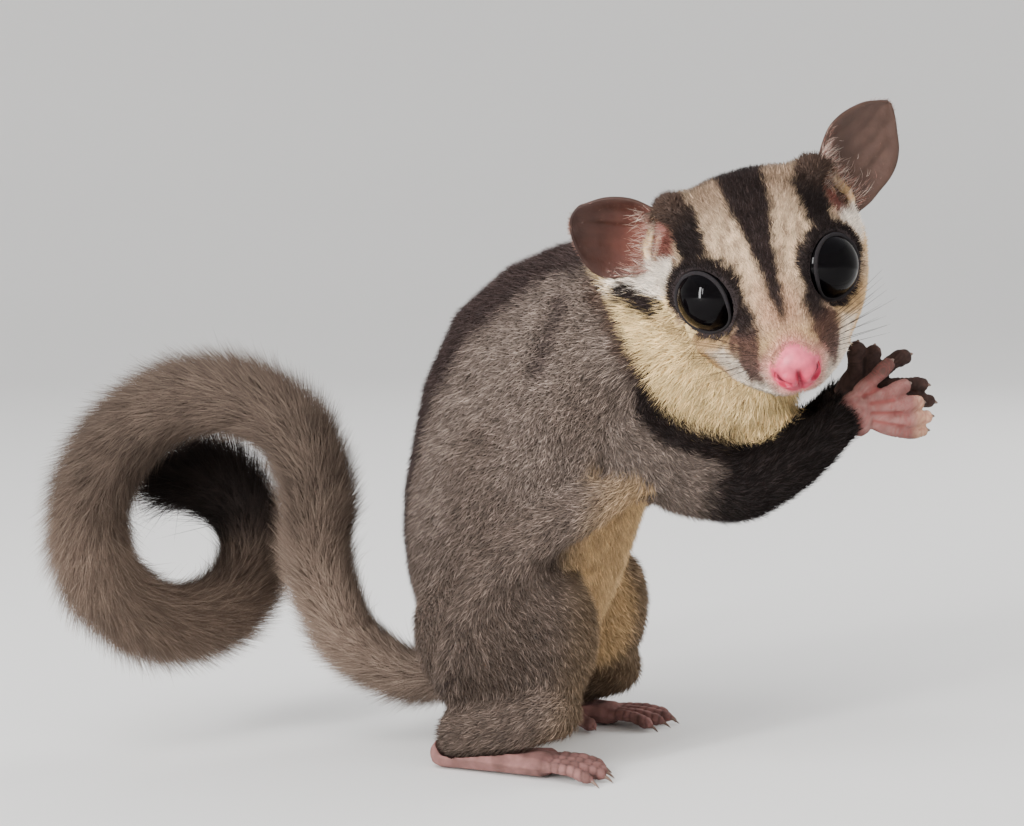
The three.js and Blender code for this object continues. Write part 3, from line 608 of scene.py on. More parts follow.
def body_colours(points, nodes, fuzz):
    """Colours of the body's coat, from its own frame and the node that lies nearest."""
    local = to_body(points)
    spot, heading, share, _ = along_line(points, body_line(BACK_LINE))
    rear = unit(np.cross(heading, BODY_AXES[:, 1]))
    dorsal = (unit(points - spot) * rear).sum(1)
    is_arm = is_part(nodes, "upper_arm", "forearm")
    is_leg = is_part(nodes, "thigh", "shin")
    is_membrane = is_part(nodes, "gliding")
    folded = body_folded(local)

    # Grey back and sides, cream belly and chest, and dark legs with pale inner sides
    value = all_in(GREY, len(points))
    value = mark(value, DARK_GREY, 0.5 * ramp(wobble(points, 17, 5), -0.2, 1.2))
    value = mark(value, DARK_GREY, 0.45 * ramp(-local[:, 2], -46, -24))
    value = mark(value, CREAM * 0.86, ramp(-dorsal, 0.5, 0.8) * ~is_arm * ramp(-local[:, 2], -47, -41))
    value = mark(value, DARK_GREY, 0.8 * is_leg)
    inner = ramp(-np.abs(local[:, 1]), -12.5, -9.5) * ramp(local[:, 0], 2, 8)
    value = mark(value, CREAM * 0.8, is_leg * inner)

    # Painted shade in the fold behind the neck, and the membrane with its dark hem
    edge = along_line(folded, np.array(MEMBRANE_EDGE) * [1, -1, 1])[3]
    fold = along_line(folded, BODY_FOLDS[0][0])[3]
    value = mark(value, BLACK_BROWN * 2.0, 0.85 * np.exp(-(fold / 1.4) ** 2))
    value = mark(value, DARK_GREY, 0.5 * is_membrane)
    hem = ramp(-edge - 0.3 * fuzz, -2.0, -1.0) * ~is_arm * (local[:, 2] < 44)
    value = mark(value, BLACK_BROWN * 1.8, hem)

    # Pale throat with darker locks, and along its edge a band of dark fur deepened with painted shade
    near, _, run, gap = along_line(folded, THROAT_EDGE)
    front = (folded - near) @ THROAT_WAY - 0.8
    throat = ramp(front + 0.4 * fuzz, -0.6, 0.6) * ramp(local[:, 0], 13, 16) * (1 - is_part(nodes, "forearm"))
    throat = throat * np.maximum(ramp(np.abs(local[:, 1]), 4, 8), ramp(-local[:, 2], -66, -60))
    value = mark(value, YELLOW_CREAM, throat)
    value = mark(value, CREAM * 0.55, 0.5 * throat * ramp(wobble(points * [1, 1, 0.6], 2.0, 53), 0.2, 1.4))
    # The band is partly dark fur and partly painted shade where the throat's edge folds
    width = 1.3 + 1.0 * ramp(run, 0.35, 0.7)
    band = ramp(width - gap + 0.3 * fuzz, -0.6, 0.6) * ramp(-front, -0.9, 0.3)
    brown = mark(all_in(EAR_BROWN * 0.8, len(points)), BLACK_BROWN, ramp(run, 0.3, 0.5))
    value = mark(value, brown, band)

    # Dark arms, and the stripe along the back
    dark = is_arm * ramp(arm_share(points, nodes) + 0.03 * fuzz, 0.36, 0.5)
    value = mark(value, BLACK_BROWN * 0.7, dark)
    half = np.interp(share, [0.05, 0.2, 0.6, 0.85, 1.0], [2.0, 6.0, 8.0, 7.0, 3.6])
    middle = np.interp(share, [0.05, 0.3, 0.75, 1.0], [-0.5, -4.2, -4.2, 0.0])
    stripe = ramp(half - np.abs(local[:, 1] - middle) + 0.5 * fuzz, -1.8, 1.2) * ramp(dorsal, 0.2, 0.5)
    return mark(value, BLACK_BROWN * 2.0, stripe * ~is_leg)


def coat_colours(points, nodes):
    """The colour of skin or coat at a place, from the markings of head and body, with painted shade along
    some of its folds.
    """
    fuzz = wobble(points, 1.6, 3)
    value = body_colours(points, nodes, fuzz)
    local = to_head(points)
    head = head_colours(local, fuzz)
    value = np.where((nodes == FLESH.index("head"))[:, None], head, value)
    folded = head_folded(local)
    clear = ramp(np.linalg.norm(folded - [EYE_APART, 0, 0], axis=1), 6.7, 7.7)
    for line, shade, wide, share in (
        (EAR_TUFT, WHITE_FUR, 2.9, clear),
        (CHEEK_BLOB, BLACK_BROWN, 1.8, 1.0),
        (CHEEK_PALE, WHITE_FUR, 1.8, 0.75 * clear),
        # Painted shade along the cheek's fold
        (CHEEK_FOLD, FOLD_SHADE, 1.2, 0.85),
    ):
        gap = along_line(folded, line)[3]
        value = mark(value, shade, share * ramp(-gap - 0.3 * fuzz, -wide - 0.5, -wide + 0.6))
    return value


def coat_sizes(points, nodes):
    """Depth, length, width, lift and thickness of the coat at each point."""
    table = np.array([[COAT[region_of(node)][k] for k in COAT_FIELDS] for node in FLESH])
    value = table[nodes]
    front = ramp(-to_head(points)[:, 1], -FACE_BACK, -FACE_FRONT)
    facial = np.array([FACE_COAT[k] for k in COAT_FIELDS])
    share = (front ** 0.7) * (nodes == FLESH.index("head"))
    return value + (facial - value) * share[:, None]


# Middle and half sizes of the nose's bare pad
NOSE_MIDDLE = np.array([0, -14.4, -6.4])
NOSE_SIZE = np.array([3.5, 3.2, 3.45])


def eye_round(local):
    """Distance from the line that each point's nearer eye looks along, and the height along it."""
    gap = np.full(len(local), 99.0)
    height = np.zeros(len(local))
    for side in (-1, 1):
        mine = (local[:, 0] * side) > 0
        off = local - eye_middle(side)
        look = eye_look(side)
        along = off @ look
        gap[mine] = np.linalg.norm(off - along[:, None] * look, axis=1)[mine]
        height[mine] = along[mine]
    return gap, height


def nose_gap(local):
    """Distance from the nose's middle, 1 at the edge of its bare pad, which is narrower above."""
    away = (local - NOSE_MIDDLE) / NOSE_SIZE
    away[:, 0] *= 1 + 0.45 * ramp(local[:, 2], -6.2, -3.2)
    return np.linalg.norm(away, axis=1)


def bare_share(local):
    """How bare the skin of the face is: 1 on the nose and the lids."""
    gap, height = eye_round(local)
    lids = ramp(-gap, -5.15, -4.9) * (height > -1)
    return np.maximum(lids, ramp(-nose_gap(local), -1.10, -0.97))


# Socket: how far the skin stays under the ball and the rim, how wide it fades out, and how deep it reaches
UNDER_BALL = 0.9
UNDER_RIM = 0.05
SOCKET_FADE = (0.5, 2.6)
SOCKET_FLOOR = -2.0


def carve_sockets(points):
    """Skin of the face brought down under each eye's ball, and up to its lids round it."""
    local = to_head(points)
    for side in (-1, 1):
        look = eye_look(side)
        off = local - eye_middle(side)
        along = off @ look
        gap = np.linalg.norm(off - along[:, None] * look, axis=1)
        under = np.sqrt(np.maximum(EYE_BALL ** 2 - gap ** 2, EYE_RIM ** 2 * 0.5)) - UNDER_BALL
        want = np.where(gap < EYE_OPENING + 0.15, np.minimum(along, under), EYE_RIM - UNDER_RIM)
        share = 1 - ramp(gap, EYE_OPENING + SOCKET_FADE[0], EYE_OPENING + SOCKET_FADE[1])
        share = share * (along > SOCKET_FLOOR)
        local = local + ((want - along) * share)[:, None] * look
    return from_head(local)


class Surface:
    """A shell of skin with what the coat needs to know at each of its points."""

    def __init__(self, piece, nodes, even):
        self.piece = piece
        self.points = points_of(piece)
        edges = read(piece.data.edges, "vertices", 2, np.int32)
        owner = nearest_nodes(self.points, nodes)
        self.nodes = np.array([FLESH.index(node) for node in nodes])[owner]
        self.sizes = relaxed(coat_sizes(self.points, self.nodes), edges, even)
        flow = np.zeros_like(self.points)
        for i, node in enumerate(FLESH):
            mine = self.nodes == i
            if mine.any():
                flow[mine] = flow_at(self.points[mine], node)
        self.flow = unit(relaxed(flow, edges, even))
        self.weight = np.ones(len(self.points))

    def take_in(self):
        """Skin moved inward by the depth of its coat."""
        self.shape(self.points - normals_of(self.piece) * self.sizes[:, :1])

    def shape(self, points):
        """Skin given new places for its points."""
        move_points(self.piece, points)
        self.points = points
        self.normals = normals_of(self.piece)

    def seen(self):
        """Places on the coat's surface, where its markings are read."""
        return self.points + self.normals * self.sizes[:, :1]


# Shells: swelling of the nodes, size of the new surface's cells and rounds of softening, then the rounds in
# which the coat's values are evened out
BODY_SHELL = dict(swell=0.45, voxel=0.85, soften=10)
FACE_SHELL = dict(swell=0.22, voxel=0.36, soften=4)
BODY_EVEN, FACE_EVEN = 10, 6

# Place within the head that the body's hidden front shrinks towards, and how far
HIDDEN_PLACE = [[0.0, 7.0, -1.5]]
HIDDEN_SHRINK = 0.24

# Skin's brightness next to that of its coat, on the body, the face and the tail
BODY_SHADE, FACE_SHADE, TAIL_SHADE = 0.7, 0.75, 0.4


def make_body_shell():
    """Skin of the whole body but the face, whose part lies hidden in the head."""
    surface = Surface(grown_shell(FLESH, "body_skin", **BODY_SHELL), FLESH, BODY_EVEN)
    local = to_head(surface.points)
    back = local[:, 1]
    on_head = surface.nodes == FLESH.index("head")
    hidden = ramp(-back, -FACE_BACK - 1, -FACE_BACK + 2)
    open_ears(surface)
    surface.take_in()
    toward = from_head(HIDDEN_PLACE) - surface.points
    surface.shape(surface.points + toward * (HIDDEN_SHRINK * on_head * hidden)[:, None])
    folded = body_folded(to_body(surface.points))
    dip = np.zeros(len(folded))
    for line, deep, wide in BODY_FOLDS:
        dip += deep * np.exp(-(along_line(folded, line)[3] / wide) ** 2)
    dip += 0.9 * np.exp(-(along_line(head_folded(local), CHEEK_FOLD)[3] / 1.3) ** 2)
    surface.sizes[:, 1] *= 1 - 0.4 * np.minimum(dip, 1.0)
    surface.shape(surface.points - surface.normals * (dip * ~on_head)[:, None])
    surface.weight = surface.weight * (1.0 - (on_head & (back < FACE_BACK - 0.5)))
    surface.hue = coat_colours(surface.seen(), surface.nodes) * BODY_SHADE
    return surface


def make_face_shell():
    """Skin of the face, finer than the body's, with its sockets and nose."""
    piece = grown_shell(["head", "nose"], "face_skin", **FACE_SHELL)
    refined(piece, nose_gap(to_head(points_of(piece))) < 1.35, 2)
    surface = Surface(piece, ["head"], FACE_EVEN)
    open_ears(surface)
    bare = bare_share(to_head(surface.points))
    surface.sizes[:, 0] *= 1 - bare
    surface.take_in()
    surface.shape(shape_nose(carve_sockets(surface.points)))
    local = to_head(surface.points)
    before_seam = ramp(-local[:, 1], -FACE_BACK - 2.0, -FACE_BACK - 1.0)
    surface.weight = surface.weight * (1 - bare_share(local)) * before_seam
    surface.hue = face_skin_colours(surface)
    return surface


# Line of a nostril, and the width and depth of nostrils and groove
NOSTRILS = [(2.0, -16.2, -7.8), (2.6, -15.9, -7.2), (3.0, -15.3, -6.6)]
NOSTRIL_WIDE, NOSTRIL_DEEP = 0.62, 1.2
GROOVE_WIDE, GROOVE_DEEP = 0.36, 0.75


def nose_forms(local):
    """How far into a nostril and into the nose's groove each point lies, from 0 to 1."""
    folded = head_folded(local)
    nostril = np.exp(-(along_line(folded, NOSTRILS)[3] / NOSTRIL_WIDE) ** 2)
    groove = np.exp(-(folded[:, 0] / GROOVE_WIDE) ** 2)
    groove = groove * ramp(-local[:, 1], 13.2, 15.2) * ramp(-local[:, 2], 5.2, 6.8)
    return nostril, groove


def shape_nose(points):
    """Nostrils and groove pressed into the nose."""
    local = to_head(points)
    nostril, groove = nose_forms(local)
    local[:, 1] += NOSTRIL_DEEP * nostril + GROOVE_DEEP * groove
    return from_head(local)


def face_skin_colours(surface):
    """Colours of the face's skin, with dark lids and a pink nose that has painted light on its top and
    painted shade under it, in its nostrils and in its groove.
    """
    local = to_head(surface.points)
    gap, _ = eye_round(local)
    shade = coat_colours(surface.seen(), surface.nodes) * FACE_SHADE
    shade = mark(shade, LID_BROWN * 1.3, ramp(-gap, -6.0, -5.2))
    pad = nose_gap(local)
    nostril, groove = nose_forms(local)
    # Painted light on the top of the nose
    pink = mark(all_in(NOSE_PINK, len(local)), NOSE_LIT, ramp(local[:, 2], -7.4, -3.6))
    # Painted shade under the nose
    pink = mark(pink, NOSE_PINK * 0.7, 0.8 * ramp(-local[:, 2], 7.4, 9.2))
    # Painted shade in the nostrils and the groove
    pink = mark(pink, NOSE_SHADE, 0.95 * ramp(nostril, 0.1, 0.6) + 0.5 * groove)
    return np.where((pad < 1.5)[:, None], mark(shade, pink, ramp(-pad, -1.35, -0.95)), shade)


def turns(steps):
    """Even steps round a circle: the angles' cosines and sines."""
    angle = np.arange(steps) * 2 * math.pi / steps
    return np.cos(angle), np.sin(angle)


def round_faces(rings, sides, closed=False):
    """Faces between rings of points that follow each other, back to the first ring if closed."""
    faces = []
    for i in range(rings if closed else rings - 1):
        n = (i + 1) % rings
        for j in range(sides):
            k = (j + 1) % sides
            faces.append((i * sides + j, i * sides + k, n * sides + k, n * sides + j))
    return faces


def tube(centres, radii, sides):
    """Points and faces of a round closed tube along a line of centres."""
    tangent = unit(np.gradient(centres, axis=0))
    across = unit(np.cross(tangent, np.cross([0.0, 1.0, 0.0], tangent)))
    upward = np.cross(tangent, across)
    cosines, sines = turns(sides)
    ring = cosines[None, :, None] * across[:, None] + sines[None, :, None] * upward[:, None]
    points = centres[:, None] + ring * np.asarray(radii)[:, None, None]
    count = len(centres)
    points = np.concatenate([points.reshape(-1, 3), centres[:1], centres[-1:]])
    faces = round_faces(count, sides)
    start, end = count * sides, count * sides + 1
    for j in range(sides):
        k = (j + 1) % sides
        faces.append((start, k, j))
        faces.append((end, (count - 1) * sides + j, (count - 1) * sides + k))
    return points, faces


def gathered(parts):
    """Points and faces of several forms put together."""
    points, faces, start = [], [], 0
    for part, sides in parts:
        points.append(np.asarray(part, float))
        faces += [tuple(k + start for k in face) for face in sides]
        start += len(part)
    return np.concatenate(points), faces


class Plain:
    """A part of the skin that carries no coat of its own, or one laid on in another way."""

    def __init__(self, piece, hue):
        self.piece = piece
        self.points = points_of(piece)
        self.normals = normals_of(piece)
        count = len(self.points)
        self.nodes = np.zeros(count, int)
        self.sizes = np.zeros((count, 5))
        self.flow = np.zeros((count, 3))
        self.weight = np.zeros(count)
        self.hue = hue


def tail_centres():
    """Places along the middle of the tail."""
    return catmull(at_rest(TAIL_LINE), np.linspace(0, 1, TAIL_STEPS))


def make_tail_shell():
    """Skin of the tail within its bush."""
    centres = tail_centres()
    radii = catmull(np.array(TAIL_RADIUS), np.linspace(0, 1, len(centres))) * TAIL_CORE
    radii[-TAIL_END:] *= np.linspace(1, 0.35, TAIL_END)
    piece = outward(new_piece("tail_skin", *tube(centres, radii, TAIL_SIDES)))
    along = along_line(points_of(piece), centres)[2]
    return Plain(piece, tail_colours(along) * TAIL_SHADE)


# Lids: steps round the eye and round the rim, how far the rim lies inside the opening and over the ball, how
# much narrower it is at the sides, how far its corner by the nose is drawn out, its thickness and how much
# thinner it is at that corner, and the way to that corner
LID_STEPS, LID_SIDES = 96, 10
LID_INSET = 0.10
LID_RISE = 0.10
LID_NARROW = 0.22
LID_CORNER = 0.26
LID_THICK, LID_THIN = 0.33, 0.08
LID_CORNER_WAY = (0.75, -0.35, -0.75)


def make_lids():
    """A rounded rim of skin round each eye, drawn out a little towards the nose."""
    parts = []
    for side in (-1, 1):
        look, middle = eye_look(side), eye_middle(side)
        toward_nose = unit(np.array(LID_CORNER_WAY) * [-side, 1, 1])
        toward_nose = unit(toward_nose - toward_nose @ look * look)
        upward = np.cross(look, toward_nose)
        level = unit(np.array([1.0, 0, 0]) - look[0] * look)
        cosines, sines = turns(LID_STEPS)
        corner = np.maximum(cosines, 0) ** 6
        sideways = cosines * (toward_nose @ level) + sines * (upward @ level)
        wide = EYE_OPENING - LID_INSET - LID_NARROW * sideways ** 2 + LID_CORNER * corner
        way = cosines[:, None] * toward_nose + sines[:, None] * upward
        height = np.sqrt(EYE_BALL ** 2 - wide ** 2) + LID_RISE
        centres = middle + way * wide[:, None] + height[:, None] * look
        thick = LID_THICK - LID_THIN * corner
        cosines, sines = turns(LID_SIDES)
        ring = cosines[None, :, None] * way[:, None] + sines[None, :, None] * look * 0.8
        points = (centres[:, None] + ring * thick[:, None, None]).reshape(-1, 3)
        parts.append((from_head(points), round_faces(LID_STEPS, LID_SIDES, closed=True)))
    points, faces = gathered(parts)
    piece = outward(new_piece("lid_rims", points, faces))
    return Plain(piece, all_in(LID_GREY, len(points)))


def sample(piece, weight, draw):
    """Even random places on a mesh: triangle corners, loops, and the shares of each corner."""
    mesh = piece.data
    mesh.calc_loop_triangles()
    corners = read(mesh.loop_triangles, "vertices", 3, np.int32)
    loops = read(mesh.loop_triangles, "loops", 3, np.int32)
    chance = np.cumsum(areas_of(points_of(piece)[corners]) * weight[corners].mean(1))
    count = int(chance[-1])
    pick = np.searchsorted(chance, (np.arange(count) + draw.random(count)) / count * chance[-1])
    pick = np.minimum(pick, len(corners) - 1)
    return corners[pick], loops[pick], triangle_shares(draw, count)


def blend_corners(values, corners, shares):
    """Values of the points brought to places in triangles."""
    return (values[corners] * shares[..., None]).sum(1)


# Faces of a straight tuft, of a ring and a tip, and of a bent one with a second ring
SHORT_FACES = np.array([(0, 2, 1), (0, 1, 3), (1, 2, 3), (2, 0, 3)])
LONG_FACES = np.array([(0, 1, 2), (0, 4, 1), (0, 3, 4), (1, 5, 2), (1, 4, 5), (2, 3, 0), (2, 5, 3),
                       (3, 6, 4), (4, 6, 5), (5, 6, 3)])

# Half the side of a tuft's patch on the unwrap, and the patch's places
PATCH = 0.0013
SHORT_PATCH = PATCH * np.array([(-1, -1), (1, -1), (0, -0.6), (0, 1)])
LONG_PATCH = PATCH * np.array([(-1, -1), (1, -1), (0, -1), (-1, 0.2), (1, 0.2), (0, 0.4), (0, 1)])


def turned_outward(points, faces):
    """The faces of one closed form, turned over if they point inward."""
    a, b, c = (points - points.mean(0))[faces].transpose(1, 0, 2)
    volume = (a * np.cross(b, c)).sum()
    return faces if volume > 0 else faces[:, ::-1]


def mesh_tufts(name, t, bent):
    """Closed three-sided tapered tufts: straight, of a ring and a tip, or bent, with a ring half way."""
    count = len(t["root"])
    normal, flow = t["normal"], t["flow"]
    flow = unit(flow - (flow * normal).sum(1)[:, None] * normal)
    side = np.cross(normal, flow)
    lift = np.radians(t["lift"])[:, None]
    sway = t["sway"][:, None]
    length, wide = t["length"][:, None], t["width"][:, None]
    start = t["root"] - normal * t["sunk"][:, None]
    ring = [-0.5 * side * wide, 0.5 * side * wide, 0.42 * normal * wide]
    if bent:
        steep = flow * np.cos(lift * 1.5) + normal * np.sin(lift * 1.5)
        flat = flow * np.cos(lift * 0.5) + normal * np.sin(lift * 0.5)
        middle = t["root"] + steep * length / 2 + side * sway * length * 0.2
        tip = middle + unit(flat + side * sway) * length / 2
        rows_of = [start + 0.8 * edge for edge in ring] + [middle + edge for edge in ring] + [tip]
        shades = [t["low"]] * 3 + [t["mid"]] * 3 + [t["high"]]
        faces, patch = LONG_FACES, LONG_PATCH
    else:
        way = unit(flow * np.cos(lift) + normal * np.sin(lift) + side * sway)
        rows_of = [start + edge for edge in ring] + [t["root"] + way * length]
        shades = [t["low"]] * 3 + [t["high"]]
        faces, patch = SHORT_FACES, SHORT_PATCH
    points = np.stack(rows_of, 1)
    faces = turned_outward(points[0], faces)
    size = points.shape[1]
    index = (np.arange(count)[:, None, None] * size + faces[None]).reshape(-1, 3)
    piece = new_piece(name, points.reshape(-1, 3), index)
    paint(piece, np.stack(shades, 1).reshape(-1, 3))
    uv = t["uv"][:, None] + patch[None]
    layer = piece.data.uv_layers.new(name="OFBake")
    layer.data.foreach_set("uv", uv[np.arange(count)[:, None, None], faces[None]].astype(np.float32).ravel())
    piece.data.shade_smooth()
    return piece


def tuft_shades(base, draw, pale):
    """Colours of each tuft at its root, middle and tip, with some paler tips."""
    light = np.clip(1 + TIP_SPREAD * draw.normal(size=(len(base), 1)), 0.45, 1.7)
    tip = base * light
    grizzled = draw.random((len(base), 1)) < pale[:, None]
    brightness = base @ np.array([0.2, 0.7, 0.1])
    gain = 2.0 - 0.85 * ramp(brightness, 0.18, 0.5)
    tip = np.where(grizzled, tip * gain[:, None] + 0.02, tip * 0.86)
    low = base * np.clip(0.30 + 0.55 * brightness, 0.32, 0.72)[:, None]
    return low, low + 0.45 * (tip - low), tip


def unwrapped_place(piece, loops, shares):
    """Places on the unwrap of the skin's own shape."""
    return blend_corners(read(piece.data.uv_layers["OFBake"].data, "uv", 2), loops, shares)


# How far tufts stray from the lie of the coat, in waves and one by one, how far along its length each tuft's
# colour is read and how far that place strays, and how much clumps of two sizes differ in brightness
LIE_WAVES, LIE_STRAY = 0.13, 0.17
SEEN_ALONG, SEEN_STRAY = 0.6, 0.18
CLUMPS = ((0.16, 0.9, 61), (0.10, 2.6, 62))

# Share of pale tips on head and body, and spread of the tips' brightness
PALE_HEAD, PALE_BODY = 0.15, 0.30
TIP_SPREAD = 0.30


def strayed(flow, root, draw, waves, size, seeds):
    """The lie of the coat, made uneven in waves and from tuft to tuft."""
    uneven = np.stack([wobble(root, size, seed) for seed in seeds], 1)
    return unit(flow + waves * uneven + LIE_STRAY * draw.normal(size=root.shape))


def grow_coat(skin, draw, density):
    """Short tufts rooted on the skin, as thickly as its coat is there."""
    corners, loops, shares = sample(skin.piece, skin.weight * skin.sizes[:, 4] * density, draw)
    root = blend_corners(skin.points, corners, shares)
    normal = unit(blend_corners(skin.normals, corners, shares))
    flow = unit(blend_corners(skin.flow, corners, shares))
    count = len(root)
    flow = strayed(flow, root, draw, LIE_WAVES, 7, (11, 12, 13))
    local = blend_corners(skin.sizes, corners, shares)
    nodes = skin.nodes[corners[np.arange(count), shares.argmax(1)]]
    length = local[:, 1] * draw.uniform(0.75, 1.2, count)
    seen = root + normal * local[:, :1] + flow * SEEN_ALONG * length[:, None]
    seen = seen + draw.normal(size=root.shape) * SEEN_STRAY * length[:, None]
    base = coat_colours(seen, nodes)
    on_head = nodes == FLESH.index("head")
    clump = sum(much * wobble(root, size, seed) for much, size, seed in CLUMPS)
    base = base * (1 + np.where(on_head, 0.7, 1.0) * clump)[:, None]
    low, mid, high = tuft_shades(base, draw, np.where(on_head, PALE_HEAD, PALE_BODY))
    return dict(
        root=root, normal=normal, flow=flow, length=length,
        width=local[:, 2] * draw.uniform(0.7, 1.25, count),
        lift=local[:, 3] * draw.uniform(0.45, 1.75, count),
        sunk=np.minimum(0.2, 0.1 * length), sway=0.22 * draw.normal(size=count),
        low=low, mid=mid, high=high, uv=unwrapped_place(skin.piece, loops, shares), nodes=nodes,
    )


def rows(t, keep):
    """Some of the tufts."""
    return {key: value[keep] for key, value in t.items()}


MOST_TRIANGLES = 190000


def in_pieces(name, t):
    """Straight tufts meshed as one or more pieces, none of them too large."""
    parts = math.ceil(len(t["root"]) * len(SHORT_FACES) / MOST_TRIANGLES)
    order = np.argsort(t["root"][:, 0], kind="stable")
    chunks = np.array_split(order, parts)
    return [mesh_tufts(f"{name}_{i + 1}", rows(t, chunk), False) for i, chunk in enumerate(chunks)]


def tail_colours(along):
    """Colours of the tail, for shares along it: brown, grey at its root, darker over the top of its arch with
    painted shade, paler lower down with painted light against its shadow, and dark at its tip.
    """
    base = all_in(TAIL_BROWN, len(along))
    # Painted shade over the top of the tail's arch
    base = mark(base, TAIL_BROWN * 0.5, 0.95 * ramp(along, 0.16, 0.28) * ramp(-along, -0.66, -0.52))
    # Painted light low on the arch, to lift the shade that falls there
    base = mark(base, TAIL_BROWN * 1.35, ramp(along, 0.56, 0.62) * ramp(-along, -0.82, -0.74))
    base = mark(base, TAIL_DARK, ramp(along, 0.80, 0.89))
    return mark(base, DARK_GREY, ramp(-along, -0.16, -0.02))


def grow_tail(skin, weight, draw, long, wide, spread, lift_share):
    """Tufts along the tail, towards its tip and outward."""
    corners, loops, shares = sample(skin.piece, weight, draw)
    root = blend_corners(skin.points, corners, shares)
    normal = unit(blend_corners(skin.normals, corners, shares))
    _, heading, along, _ = along_line(root, tail_centres())
    radius = np.interp(along, np.linspace(0, 1, len(TAIL_RADIUS)), TAIL_RADIUS)
    count = len(root)
    flow = strayed(heading, root, draw, 0.16, 5, (21, 22, 23))
    bushy = ramp(along, 0.82, 0.94)
    length = (long[0] + long[1] * radius) * draw.uniform(0.72, 1.15, count) * (1 + 0.7 * bushy)
    rise = radius * (1 - TAIL_CORE) * draw.uniform(*lift_share, count) * (1 + 0.9 * bushy)
    lift = np.degrees(np.arcsin(np.clip(rise / length, 0.05, 0.9)))
    base = tail_colours(np.clip(along + SEEN_ALONG * length / TAIL_LONG, 0, 1))
    base = mark(base, base * 0.66, 0.7 * ramp(wobble(root, 4, 9), -0.2, 1.3))
    light = np.clip(1 + spread * draw.normal(size=(count, 1)), 0.6, 1.5)
    tip = base * light
    pale = (draw.random((count, 1)) < 0.24) & (along[:, None] < 0.82)
    tip = np.where(pale, 0.4 * tip + 0.65 * TAIL_PALE * base / TAIL_BROWN, tip)
    return dict(
        root=root, normal=normal, flow=flow, length=length,
        width=wide * draw.uniform(0.7, 1.25, count), lift=lift,
        sunk=np.full(count, 0.3), sway=0.28 * draw.normal(size=count),
        low=base * 0.4, mid=base * 0.5 + 0.4 * tip, high=tip, uv=unwrapped_place(skin.piece, loops, shares),
    )


def shader(name, **settings):
    """A new material with the given values of its shader, and what is needed to add to it."""
    material = bpy.data.materials.new(name)
    material.use_nodes = True
    body = material.node_tree.nodes["Principled BSDF"]
    for key, value in settings.items():
        body.inputs[key.replace("_", " ")].default_value = value
    return material, material.node_tree.nodes, material.node_tree.links, body


def own_hue(nodes):
    """The colours kept in the piece's mesh."""
    hue = nodes.new("ShaderNodeAttribute")
    hue.attribute_name = "hue"
    return hue


def spanned(nodes, links, value, start, end, low, high):
    """A value between start and end brought to the range from low to high."""
    span = nodes.new("ShaderNodeMapRange")
    for key, number in (("From Min", start), ("From Max", end), ("To Min", low), ("To Max", high)):
        span.inputs[key].default_value = number
    links.new(value, span.inputs["Value"])
    return span


def hue_input(nodes, links, body, scale, low, high):
    """Base colour from the piece's own colours, mottled a little in Object space."""
    hue = own_hue(nodes)
    place = nodes.new("ShaderNodeTexCoord")
    noise = nodes.new("ShaderNodeTexNoise")
    noise.inputs["Scale"].default_value = scale
    links.new(place.outputs["Object"], noise.inputs["Vector"])
    span = spanned(nodes, links, noise.outputs["Fac"], 0.3, 0.7, low, high)
    tint = nodes.new("ShaderNodeVectorMath")
    tint.operation = "SCALE"
    links.new(hue.outputs["Color"], tint.inputs[0])
    links.new(span.outputs["Result"], tint.inputs["Scale"])
    links.new(tint.outputs["Vector"], body.inputs["Base Color"])
    return place


def bump(nodes, links, body, place, scale, distance, strength):
    """Fine uneven relief of the surface."""
    noise = nodes.new("ShaderNodeTexNoise")
    noise.inputs["Scale"].default_value = scale
    noise.inputs["Detail"].default_value = 4.0
    links.new(place.outputs["Object"], noise.inputs["Vector"])
    relief = nodes.new("ShaderNodeBump")
    relief.inputs["Strength"].default_value = strength
    relief.inputs["Distance"].default_value = distance
    links.new(noise.outputs["Fac"], relief.inputs["Height"])
    links.new(relief.outputs["Normal"], body.inputs["Normal"])


# How much redder than green the skin is, from coat to bare skin, and its roughness at both
PINK_SPAN = (0.12, 0.25)
ROUGH_SPAN = (0.95, 0.42)


def matt_under_fur(nodes, links, body):
    """The skin is moist only where it is pink: under the coat it is matt."""
    parts = nodes.new("ShaderNodeSeparateColor")
    links.new(own_hue(nodes).outputs["Color"], parts.inputs["Color"])
    pink = nodes.new("ShaderNodeMath")
    pink.operation = "SUBTRACT"
    links.new(parts.outputs["Red"], pink.inputs[0])
    links.new(parts.outputs["Green"], pink.inputs[1])
    span = spanned(nodes, links, pink.outputs["Value"], *PINK_SPAN, *ROUGH_SPAN)
    links.new(span.outputs["Result"], body.inputs["Roughness"])


def make_material(name, mottle, span=(0.84, 1.16), relief=None, **settings):
    """A material of the piece's own colours, mottled in Object space, with fine relief where it has any."""
    material, nodes, links, body = shader(name, **settings)
    place = hue_input(nodes, links, body, mottle, *span)
    if relief:
        bump(nodes, links, body, place, *relief)
    if name == "bare_skin":
        matt_under_fur(nodes, links, body)
    return material


